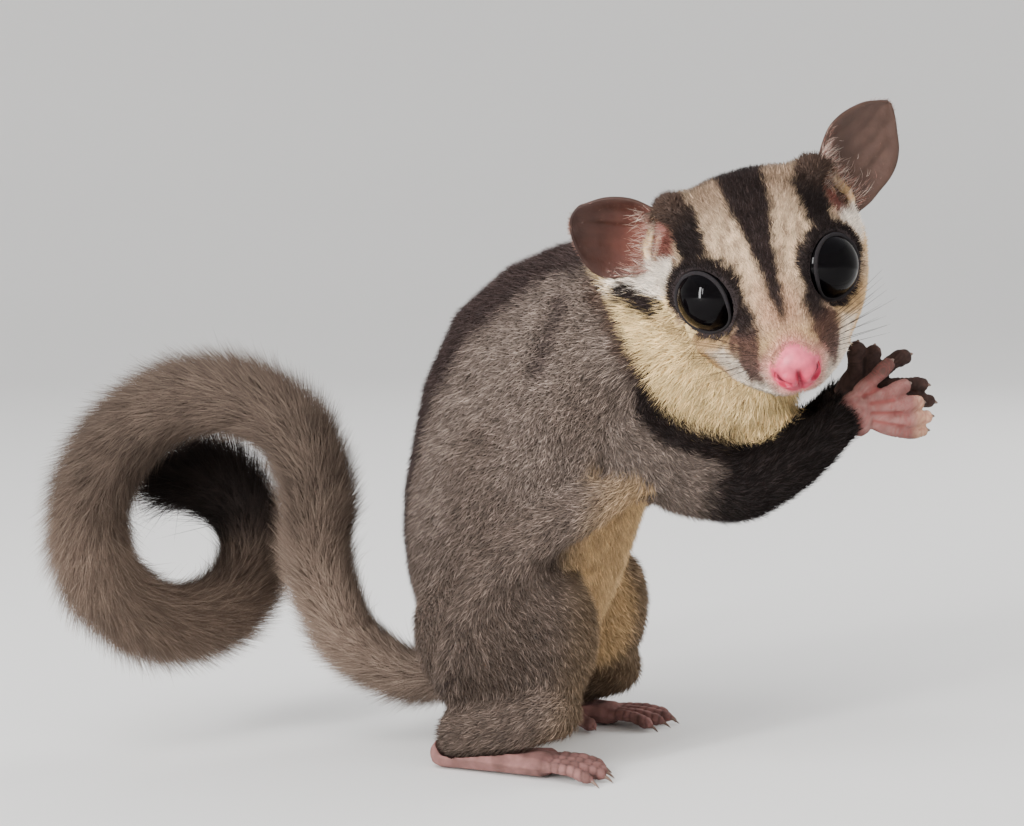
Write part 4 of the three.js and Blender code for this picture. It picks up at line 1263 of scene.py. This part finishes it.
# Materials: pitch and span of the mottling, pitch, depth and strength of the relief, and the shader's values
MATERIALS = {
    "coat": dict(mottle=400.0, span=(0.86, 1.14), Roughness=0.7, Specular_IOR_Level=0.12),
    "bare_skin": dict(
        mottle=900.0, relief=(2600.0, 0.00010, 0.35), Roughness=0.42, Specular_IOR_Level=0.4,
        Subsurface_Weight=0.12, Subsurface_Radius=(0.0012, 0.0005, 0.0003),
    ),
    "ear_skin": dict(
        mottle=450.0, relief=(1100.0, 0.00018, 0.6), Roughness=0.5, Specular_IOR_Level=0.2,
        Subsurface_Weight=0.1, Subsurface_Radius=(0.0015, 0.0005, 0.0003),
    ),
    "eye_gloss": dict(mottle=300.0, Roughness=0.03, IOR=1.25, Specular_IOR_Level=0.3),
    "claw_horn": dict(mottle=2000.0, Roughness=0.35),
    "whisker_hair": dict(mottle=800.0, Roughness=0.6, Specular_IOR_Level=0.1),
}


def dress(piece, material):
    """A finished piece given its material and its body."""
    piece.data.materials.clear()
    piece.data.materials.append(material)
    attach(piece, "root")
    return piece


def make_eye(side, name):
    """A ball with a slightly fuller cornea, turned to look out of its lids."""
    bpy.ops.mesh.primitive_uv_sphere_add(segments=64, ring_count=40, radius=EYE_BALL * MM, location=(0, 0, 0))
    piece = bpy.context.object
    piece.name = name
    points = points_of(piece)
    points *= (1 + 0.03 * ramp(points[:, 2] / EYE_BALL, 0.45, 1.0))[:, None]
    turn = np.array(Vector((0, 0, 1)).rotation_difference(Vector(eye_look(side))).to_matrix())
    move_points(piece, from_head(points @ turn.T + eye_middle(side)))
    paint(piece, all_in(EYE_BLACK, len(points)))
    piece.data.shade_smooth()
    return piece


# Ears: root, tip and facing in the head's frame, both edges as share along and mm across, and the cup's depth
EARS = {
    "right": dict(
        root=(-11.6, 11.6, 5.8), tip=(-25.6, 15.6, 8.4), face=(-0.12, -0.95, 0.2),
        low=[
            (-0.02, -4.2), (0.2, -5.1), (0.4, -5.6), (0.58, -6.0), (0.70, -5.4), (0.80, -4.1), (0.87, -2.2),
            (0.915, -0.2), (0.935, 1.6),
        ],
        high=[
            (-0.02, 3.4), (0.16, 4.6), (0.31, 5.6), (0.46, 6.0), (0.62, 5.9), (0.78, 5.2), (0.865, 4.7),
            (0.92, 3.4), (0.936, 1.8),
        ],
        cup=3.9,
    ),
    "left": dict(
        root=(11.6, 11.4, 6.2), tip=(24.0, 20.4, 14.0), face=(0.42, -0.9, 0.2),
        low=[
            (-0.02, -3.4), (0.15, -4.2), (0.28, -5.0), (0.42, -5.5), (0.55, -5.2), (0.67, -4.4), (0.79, -3.2),
            (0.88, -1.7), (0.945, 0.0),
        ],
        high=[
            (0.0, 5.6), (0.18, 6.6), (0.32, 6.9), (0.47, 7.2), (0.60, 6.8), (0.72, 5.6), (0.81, 3.9),
            (0.89, 2.2), (0.946, 0.3),
        ],
        cup=3.9,
    ),
}
EAR_CUPS = np.array([0.3, 0.62, 0.84, 0.8, 0.66, 0.5, 0.34, 0.2, 0.08])
EAR_STEPS, EAR_ACROSS = 50, 40


def ear_frame(ear):
    """An ear's root, its way to the tip, the way it faces, the way across it, and its length."""
    base = np.array(ear["root"], float)
    axis = np.array(ear["tip"], float) - base
    length = np.linalg.norm(axis)
    axis /= length
    facing = np.array(ear["face"], float)
    facing = unit(facing - facing @ axis * axis)
    return base, axis, facing, np.cross(axis, facing), length


def ear_place(ear, t, u):
    """A place on the ear's inner face: t from root to tip, u from the low edge (-1) to the high one (1)."""
    base, axis, facing, across, length = ear_frame(ear)
    low, high = catmull(ear["low"], t), catmull(ear["high"], t)
    flat = (low + high) / 2 + (high - low) / 2 * u[:, None]
    cup = ear["cup"] * catmull(EAR_CUPS, np.clip(flat[:, 0] / 0.93, 0, 1))
    deep = cup * (1 - np.abs(u) ** 2.4)
    rolled = 0.5 * ramp(np.abs(u), 0.86, 1.0) * (1 - 0.7 * t)
    folds = 0.10 * np.sin(flat[:, 1] * 2.6 + 1.2 * np.sin(t * 7)) * np.sin(math.pi * t) * (1 - u * u)
    ridge = 0.45 * np.exp(-((u - 0.30 - 0.25 * t) / 0.10) ** 2) * ramp(-t, -0.75, -0.35)
    rise = 1.2 - deep - rolled + folds + ridge
    return base + (length * flat[:, 0])[:, None] * axis + flat[:, 1:] * across + rise[:, None] * facing


def make_ear(side):
    """A thin cupped leaf with an inner and an outer face, closed round its edge."""
    ear = EARS[side]
    bpy.ops.mesh.primitive_grid_add(
        x_subdivisions=EAR_STEPS, y_subdivisions=EAR_ACROSS, size=2, location=(0, 0, 0),
    )
    piece = bpy.context.object
    piece.name = f"ear_leaf_{side}"
    flat = points_of(piece) * MM
    t, u = (flat[:, 0] + 1) / 2, flat[:, 1]
    move_points(piece, from_head(ear_place(ear, t, u)))
    paint(piece, ear_colours(t, u))
    apply_new(piece, "SOLIDIFY", thickness=0.5 * MM, offset=0.0)
    outward(piece)
    apply_new(piece, "SMOOTH", factor=0.4, iterations=3)
    away = (normals_of(piece) @ (HEAD_AXES @ ear_frame(ear)[2])) < 0
    paint(piece, np.where(away[:, None], EAR_BACK[None], hue_of(piece)))
    piece.data.shade_smooth()
    return piece


def ear_colours(t, u):
    """Colours of an ear's inner face: pink at the root and in the cup, dark towards its tip and edge."""
    rim = ramp(np.maximum(np.abs(u), t), 0.93, 1.0)
    deep = np.exp(-((t - 0.16) / 0.20) ** 2 - ((u + 0.1) / 0.75) ** 2)
    shade = mark(all_in(EAR_CUP, len(t)), EAR_DEEP, 0.9 * deep)
    shade = mark(shade, EAR_ROOT, 0.8 * ramp(-t, -0.2, -0.02))
    shade = mark(shade, EAR_END, 0.7 * ramp(t, 0.4, 0.9))
    return mark(shade, EAR_RIM, 0.5 * rim)


# Hairs of one ear, and how many of them are long ones
EAR_HAIRS = 2400
LONG_EAR_HAIRS = 420


def ear_hairs(side, draw):
    """Fine pale hairs in the ear's root and along its lower edge, and short down over its cup."""
    ear = EARS[side]
    _, axis, facing, _, _ = ear_frame(ear)
    count = EAR_HAIRS
    short = np.arange(count) >= LONG_EAR_HAIRS
    t = np.where(short, draw.uniform(0.0, 0.97, count), np.abs(draw.normal(0, 0.15, count)) + 0.01)
    u = np.where(short, draw.uniform(-0.97, 0.93, count), 1.8 * draw.random(count) ** 1.8 - 0.97)
    place = from_head(ear_place(ear, t, u))
    front, toward = HEAD_AXES @ facing, HEAD_AXES @ axis
    flow = unit(toward[None] * 0.8 + 0.28 * draw.normal(size=(count, 3)) + 0.2 * front[None])
    base = mark(all_in(WHITE_FUR * 0.7, count), EAR_HAIR_PINK, draw.random(count))
    base = mark(base, EAR_DOWN, short * draw.uniform(0.6, 1.0, count))
    fade = np.where(short, 0.22, np.clip(1.15 - 2.0 * t, 0.25, 1))
    return dict(
        root=place, normal=all_in(unit(front), count), flow=flow,
        length=3.4 * fade * draw.uniform(0.5, 1.2, count), width=np.full(count, 0.04),
        lift=np.full(count, 18.0) * draw.uniform(0.5, 1.5, count), sunk=np.full(count, 0.15),
        sway=0.35 * draw.normal(size=count), low=base * 0.8, mid=base, high=base,
        uv=np.stack([0.5 + 0.2 * u, np.clip(t, 0, 1)], 1),
    )


# Hands: palm, then the knuckle, middle and tip of each digit with its thickness
HANDS = {
    "right": dict(
        palm=[(49.4, -13.7, 51.6), (52.0, -13.5, 52.3), (54.8, -13.3, 53.0)],
        deep=(2.6, 3.4, 2.7),
        digits=[
            ((52.2, -13.6, 55.2), (54.4, -13.9, 57.3), (56.5, -13.3, 59.3), 1.0),
            ((53.8, -13.9, 54.6), (56.4, -14.4, 55.3), (58.8, -13.6, 56.3), 1.05),
            ((54.0, -14.0, 53.2), (57.8, -14.6, 53.6), (60.7, -13.7, 53.9), 1.07),
            ((54.2, -13.8, 51.8), (58.6, -14.3, 51.5), (62.1, -13.3, 51.9), 0.95),
            ((54.6, -13.3, 50.9), (58.6, -13.5, 49.7), (61.6, -12.8, 49.9), 0.88),
        ],
    ),
    "left": dict(
        palm=[(50.4, -8.4, 54.2), (53.2, -9.0, 56.4), (55.4, -9.3, 56.6)],
        deep=(2.2, 2.9, 2.4),
        digits=[
            ((52.9, -9.2, 57.0), (52.5, -9.5, 59.8), (52.7, -9.3, 61.4), 1.2),
            ((54.2, -9.2, 57.6), (54.9, -9.6, 60.0), (55.1, -9.3, 61.0), 1.05),
            ((55.4, -9.2, 57.4), (57.8, -9.6, 59.5), (59.5, -9.4, 60.2), 1.12),
            ((55.8, -9.2, 56.0), (60.0, -9.5, 56.3), (62.2, -9.2, 56.2), 0.95),
            ((55.8, -9.2, 54.6), (60.4, -9.5, 54.2), (63.2, -9.2, 53.8), 0.95),
        ],
    ),
}


def digit_form(knuckle, middle, tip, thick):
    """One digit with its joints, a rounded pad at its end and a slight waist between them."""
    line = catmull([knuckle, middle, tip], np.linspace(0, 1, 15))
    end = unit(line[-1] - line[-2])
    ahead = thick * np.array([0.45, 0.75, 0.93, 1.0])
    centres = np.concatenate([line, line[-1] + end * (ahead - ahead[0] + 0.3 * thick)[:, None]])
    waist = 1 - 0.07 * np.cos(np.linspace(0, 1, 15) * 4 * math.pi)
    thick = 1.1 * thick
    radii = np.concatenate([thick * waist, thick * np.array([0.92, 0.72, 0.42, 0.15])])
    return tube(centres, radii, 12)


# Depth of the palm counts for little in how near a point is to the lines between the fingers
APART = np.array([1.0, 0.1, 1.0])


def make_paw(side, name):
    """A hand with creased palm and round-ended digits."""
    hand = HANDS[side]
    palm = catmull(hand["palm"], np.linspace(0, 1, 7))
    radii = catmull(np.array([1.5, *hand["deep"], 1.2]), np.linspace(0, 1, 7))
    body, sides = tube(palm, radii, 16)
    middle = palm.mean(0)
    body = (body - middle) * [1.0, 0.62, 1.0] + middle
    forms = [(body, sides)] + [digit_form(*digit) for digit in hand["digits"]]
    piece = made_whole(outward(new_piece(name, *gathered(forms))), 0.2, 3)
    points, normals = points_of(piece), normals_of(piece)
    crease = np.zeros(len(points))
    for knuckle, middle, tip, thick in hand["digits"]:
        _, _, share, gap = along_line(points, [knuckle, middle, tip])
        near = gap < thick * 1.15
        lines = np.sin(share * 46) ** 8 * ramp(share, 0.25, 0.35) * ramp(-share, -0.97, -0.9)
        crease = np.maximum(crease, near * lines)
    crease = np.maximum(crease, 0.6 * np.abs(np.sin(wobble(points, 2.4, 41) * 5)) ** 10)
    digits = np.array([digit[:3] for digit in hand["digits"]])
    for first, second in zip(digits[:-1], digits[1:]):
        between = np.array([(first[0] + second[0]) / 2, (first[1] + second[1]) / 2])
        gap = along_line(points * APART, between * APART)[3]
        crease = np.maximum(crease, 1.6 * ramp(-gap, -0.5, 0.0))
    move_points(piece, points - normals * (0.13 * np.minimum(crease, 1.4))[:, None])
    paint(piece, paw_colours(points, side, crease))
    piece.data.shade_smooth()
    return piece


def paw_colours(points, side, crease):
    """Colours of a hand: the far one dark, the near one pink with pale finger tips, and painted shade in the
    creases and between the digits of both.
    """
    spots = ramp(wobble(points, 2.2, 31), -0.3, 1)
    if side == "left":
        shade = mark(all_in(SKIN_DARK, len(points)), SKIN_DARK * 1.7, 0.5 * spots)
        # Painted shade in the creases and between the digits
        return mark(shade, SKIN_DARK * 0.5, 0.8 * crease)
    shade = mark(all_in(SKIN_PINK, len(points)), SKIN_PINK * [0.75, 0.6, 0.6], 0.7 * spots)
    height = points[:, 2]
    shade = mark(shade, SKIN_DARK * 1.8, 0.8 * ramp(height, 56.8, 58.4) + 0.5 * ramp(-height, -50.6, -49))
    shade = mark(shade, FINGER_TIP, 0.4 * ramp(points[:, 0], 59.4, 61.4))
    # Painted shade in the creases and between the digits
    return mark(shade, CREASE_SHADE, 0.75 * crease)


def make_feet():
    """Both feet with creases across their toes, darkened with painted shade."""
    piece = grown_shell(["foot_right", "foot_left"], "feet", swell=0.12, voxel=0.28, soften=3)
    points, normals = points_of(piece), normals_of(piece)
    ahead = to_body(points)[:, 0]
    crease = np.abs(np.sin(ahead * 2.4 + 0.6 * wobble(points, 3, 45))) ** 12
    crease *= ramp(ahead, 10, 13)
    move_points(piece, points - normals * (0.1 * crease)[:, None])
    spots = ramp(wobble(points, 3, 32), -0.5, 1)
    shade = mark(all_in(SKIN_PINK * 0.85, len(points)), SKIN_DARK * 1.6, 0.45 * spots)
    # Painted shade in the creases across the toes
    paint(piece, mark(shade, SKIN_DARK, 0.6 * crease))
    piece.data.shade_smooth()
    return piece


# Long toes: their places across the foot, the gap between them, and the reach of the longest
TOE_PLACES = (-1.5, -0.5, 0.5, 1.5)
TOE_GAP = 2.3
TOE_REACH = 19.5


def toe_ends(side):
    """Middle joint and end of each long toe of a foot."""
    ends = []
    for place in TOE_PLACES:
        spread = place * TOE_GAP
        reach = TOE_REACH - 1.1 * abs(place - 0.3)
        middle = from_body([14.5, side * (18.8 + spread), 2.1])
        ends.append((middle, from_body([reach, side * (19 + spread * 1.25), 1.2])))
    return ends


# Claws of hands and toes: length and how far the tip drops, then thickness at the root
HAND_CLAW = (0.22, 0.12)
TOE_CLAW = (1.7, 0.7)
CLAW_THICK = 0.36


def claw(middle, tip, thick, long, drop):
    """One hooked claw from the end of a digit."""
    ahead = unit(np.asarray(tip, float) - middle)
    shares = np.linspace(0, 1, 8)
    centres = tip + ahead * (0.35 * thick + (long + 0.4) * shares)[:, None]
    centres = centres + np.array([0, 0, -drop]) * (shares ** 2)[:, None]
    return tube(centres, CLAW_THICK * (1 - shares) ** 0.7 + 0.02, 8)


def make_claws():
    """Small claws on the fingers and longer hooked ones on the toes."""
    forms = []
    for hand in HANDS.values():
        for _, middle, tip, thick in hand["digits"]:
            forms.append(claw(np.array(middle), np.array(tip), thick * 1.9, *HAND_CLAW))
    for side in (-1, 1):
        for middle, tip in toe_ends(side):
            forms.append(claw(middle, tip, 0.4, *TOE_CLAW))
    piece = outward(new_piece("claws", *gathered(forms)))
    paint(piece, all_in(CLAW_HORN, len(piece.data.vertices)))
    piece.data.shade_smooth()
    return piece


# Whiskers: first root, steps to the next root and row, the same for their ways, and the way that they bend
WHISKER_ROOT, ROOT_STEP, ROOT_ROW = np.array([(4.6, -11.2, -4.6), (0.75, 1.25, 0.15), (0, 0, -1.2)])
WHISKER_WAY, WAY_STEP, WAY_ROW = np.array([(1.0, 0.15, 0.30), (0.1, 0.24, 0), (0, 0, -0.30)])
WHISKER_BEND = unit(np.array([0, 0.9, -0.35]))
WHISKER_ROWS, WHISKERS = 3, 5
WHISKER_LONG = (7, 12)
WHISKER_THICK, WHISKER_TIP = 0.04, 0.006


def make_whiskers(draw):
    """Fine stiff hairs in rows on both sides of the muzzle, swept back."""
    forms = []
    shares = np.linspace(0, 1, 9)
    for side in (-1, 1):
        for row in range(WHISKER_ROWS):
            for k in range(WHISKERS):
                root = (WHISKER_ROOT + ROOT_STEP * k + ROOT_ROW * row) * [side, 1, 1]
                way = (WHISKER_WAY + WAY_STEP * k + WAY_ROW * row) * [side, 1, 1]
                way = unit(way + 0.08 * draw.normal(size=3))
                long = draw.uniform(*WHISKER_LONG) * (0.8 + 0.08 * k)
                bend = (0.25 * long * shares ** 2)[:, None] * WHISKER_BEND
                centres = root + way * (long * shares)[:, None] + bend
                thick = WHISKER_THICK * (1 - shares) ** 0.8 + WHISKER_TIP
                forms.append(tube(from_head(centres), thick, 4))
    piece = outward(new_piece("whiskers", *gathered(forms)))
    paint(piece, all_in(WHISKER_BROWN, len(piece.data.vertices)))
    return piece


# Studio: a round pale floor that turns up into a wall, as radius and height in metres, then the lamps with
# their place, size, power and whether they show in glossy surfaces, and the place that they aim at
BOWL = [(0.0, 0.0), (0.35, 0.0), (0.9, 0.0), (1.1, 0.02), (1.28, 0.09), (1.42, 0.22), (1.5, 0.4), (1.52, 0.7),
        (1.52, 1.3)]
LAMPS = (
    ("window_light", (-0.46, -0.50, 0.17), (0.08, 0.5), 9.0, True),
    ("pane_light", (-0.36, -0.55, 0.26), (0.03, 0.22), 1.2, True),
    ("sky_light", (-0.30, -0.45, 0.75), (0.6, 0.6), 5.5, False),
    ("fill_light", (0.7, -0.5, 0.35), (0.7, 0.7), 2.6, False),
    ("edge_light", (0.55, 0.45, 0.5), (0.4, 0.4), 4.0, False),
)
LAMP_AIM = (0.02, 0, 0.05)
BOWL_SIDES = 96
FLOOR_COLOUR = (0.78, 0.77, 0.75, 1)
SKY_COLOUR = (0.95, 0.96, 1.0, 1)
SKY_STRENGTH = 0.85

# Camera: place in millimetres, degrees that it looks down, width of its sensor and length of its lens
CAMERA_PLACE = (3.3, -338.3, 78)
CAMERA_DIP = 4.5
CAMERA_SENSOR = 36.0
CAMERA_LENS = 80.86


def make_floor():
    """The pale floor and the wall that it turns up into."""
    cosines, sines = turns(BOWL_SIDES)
    ring = np.stack([cosines, sines, np.zeros(BOWL_SIDES)], 1)
    points = [np.zeros((1, 3))]
    points += [ring * radius + np.array([0, 0, height]) for radius, height in BOWL[1:]]
    faces = [(0, 1 + j, 1 + (j + 1) % BOWL_SIDES) for j in range(BOWL_SIDES)]
    faces += [tuple(1 + k for k in (a, d, c, b)) for a, b, c, d in round_faces(len(BOWL) - 1, BOWL_SIDES)]
    floor = new_piece("floor", np.concatenate(points) / MM, faces)
    floor.data.shade_smooth()
    floor.data.materials.append(shader("floor_paper", Roughness=0.85, Base_Color=FLOOR_COLOUR)[0])


def make_light():
    """A soft sky and the lamps of the studio."""
    world = bpy.data.worlds.new("studio")
    world.use_nodes = True
    sky = world.node_tree.nodes["Background"]
    sky.inputs["Color"].default_value = SKY_COLOUR
    sky.inputs["Strength"].default_value = SKY_STRENGTH
    bpy.context.scene.world = world
    for name, place, size, power, glints in LAMPS:
        data = bpy.data.lights.new(name, "AREA")
        data.shape = "RECTANGLE"
        data.size, data.size_y = size
        data.energy = power
        lamp = placed(name, data)
        lamp.location = place
        lamp.visible_glossy = glints
        aim = Vector(LAMP_AIM) - Vector(place)
        lamp.rotation_euler = aim.to_track_quat("-Z", "Y").to_euler()


def make_camera():
    """The camera in the place that the photograph was taken from."""
    data = bpy.data.cameras.new("photo_camera")
    data.sensor_width = CAMERA_SENSOR
    data.lens = CAMERA_LENS
    data.clip_start = 0.01
    camera = placed("photo_camera", data)
    camera.location = [value * MM for value in CAMERA_PLACE]
    camera.rotation_euler = (math.radians(90 - CAMERA_DIP), 0, 0)
    bpy.context.scene.camera = camera


def unwrap(piece):
    """The skin's own shape laid out flat."""
    use(piece)
    piece.data.uv_layers.new(name="OFBake")
    bpy.ops.object.mode_set(mode="EDIT")
    bpy.ops.mesh.select_all(action="SELECT")
    bpy.ops.uv.smart_project(angle_limit=math.radians(66), island_margin=0.001)
    bpy.ops.object.mode_set(mode="OBJECT")


# Place of the tail among the parts of the skin
TAIL_PART = 2


class Skin:
    """All parts of the skin put together as one piece, with the coat's values at its points."""

    def __init__(self, parts):
        self.piece = new_piece("skin", *gathered([(part.points, faces_of(part.piece)) for part in parts]))
        for key in ("points", "normals", "nodes", "sizes", "flow", "weight", "hue"):
            setattr(self, key, np.concatenate([getattr(part, key) for part in parts]))
        self.part = np.concatenate([np.full(len(part.points), i) for i, part in enumerate(parts)])
        for part in parts:
            bpy.data.objects.remove(part.piece)
        paint(self.piece, self.hue)
        self.piece.data.shade_smooth()
        unwrap(self.piece)


# Layers of the tail's fur: tufts to a square mm, their length as a base and for each mm of the tail's radius,
# their width, the spread of their colours, and their rise as a share of the bush's depth
TAIL_LAYERS = {
    "coat_tail": (17.5, (4.1, 0.6), 0.12, 0.26, (0.62, 1.25)),
    "mid_tail": (9.0, (3.0, 0.45), 0.16, 0.26, (0.5, 1.05)),
    "under_tail": (4.0, (3.2, 0.4), 0.26, 0.14, (0.3, 0.8)),
}

# Pieces of the short coat: name, slot and the nodes that it grows on
COAT_PIECES = (
    ("coat_head", "cream_fur", ("head",)),
    ("coat_neck", "cream_fur", ("neck",)),
    ("coat_body", "grey_fur", ("torso",)),
    ("coat_arms", "dark_fur", ("upper_arm", "forearm")),
    ("coat_legs", "grey_fur", ("thigh", "shin", "gliding")),
)


def build():
    """All pieces of the animal and the stage that it sits on."""
    draw = np.random.default_rng(SEED)
    density = 1.0
    make_floor()
    make_light()
    make_camera()
    looks = {name: make_material(name, **values) for name, values in MATERIALS.items()}
    coat, bare = looks["coat"], looks["bare_skin"]

    skin = Skin([make_body_shell(), make_face_shell(), make_tail_shell(), make_lids()])
    dress(skin.piece, bare)
    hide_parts(*FLESH, "nose", *TAIL_NODES)

    short = grow_coat(skin, draw, density)
    layers = [(name, slot, rows(short, is_part(short["nodes"], *parts))) for name, slot, parts in COAT_PIECES]
    on_tail = (skin.part == TAIL_PART) * density
    for name, (thick, *shape) in TAIL_LAYERS.items():
        layers.append((name, "tail_fur", grow_tail(skin, on_tail * thick, draw, *shape)))
    for name, slot, tufts in layers:
        for piece in in_pieces(name, tufts):
            dress(piece, coat)

    for side, name in ((-1, "right"), (1, "left")):
        ball = dress(make_eye(side, f"eyeball_{name}"), looks["eye_gloss"])
        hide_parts(f"eye_{name}")
        leaf = dress(make_ear(name), looks["ear_skin"])
        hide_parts(f"ear_{name}")
        dress(mesh_tufts(f"ear_hair_{name}", ear_hairs(name, draw), True), coat)
        paw = dress(make_paw(name, f"paw_{name}"), bare)
        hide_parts(f"hand_{name}")
    feet = dress(make_feet(), bare)
    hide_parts("foot_right", "foot_left")
    dress(make_claws(), looks["claw_horn"])
    dress(make_whiskers(draw), looks["whisker_hair"])


build()
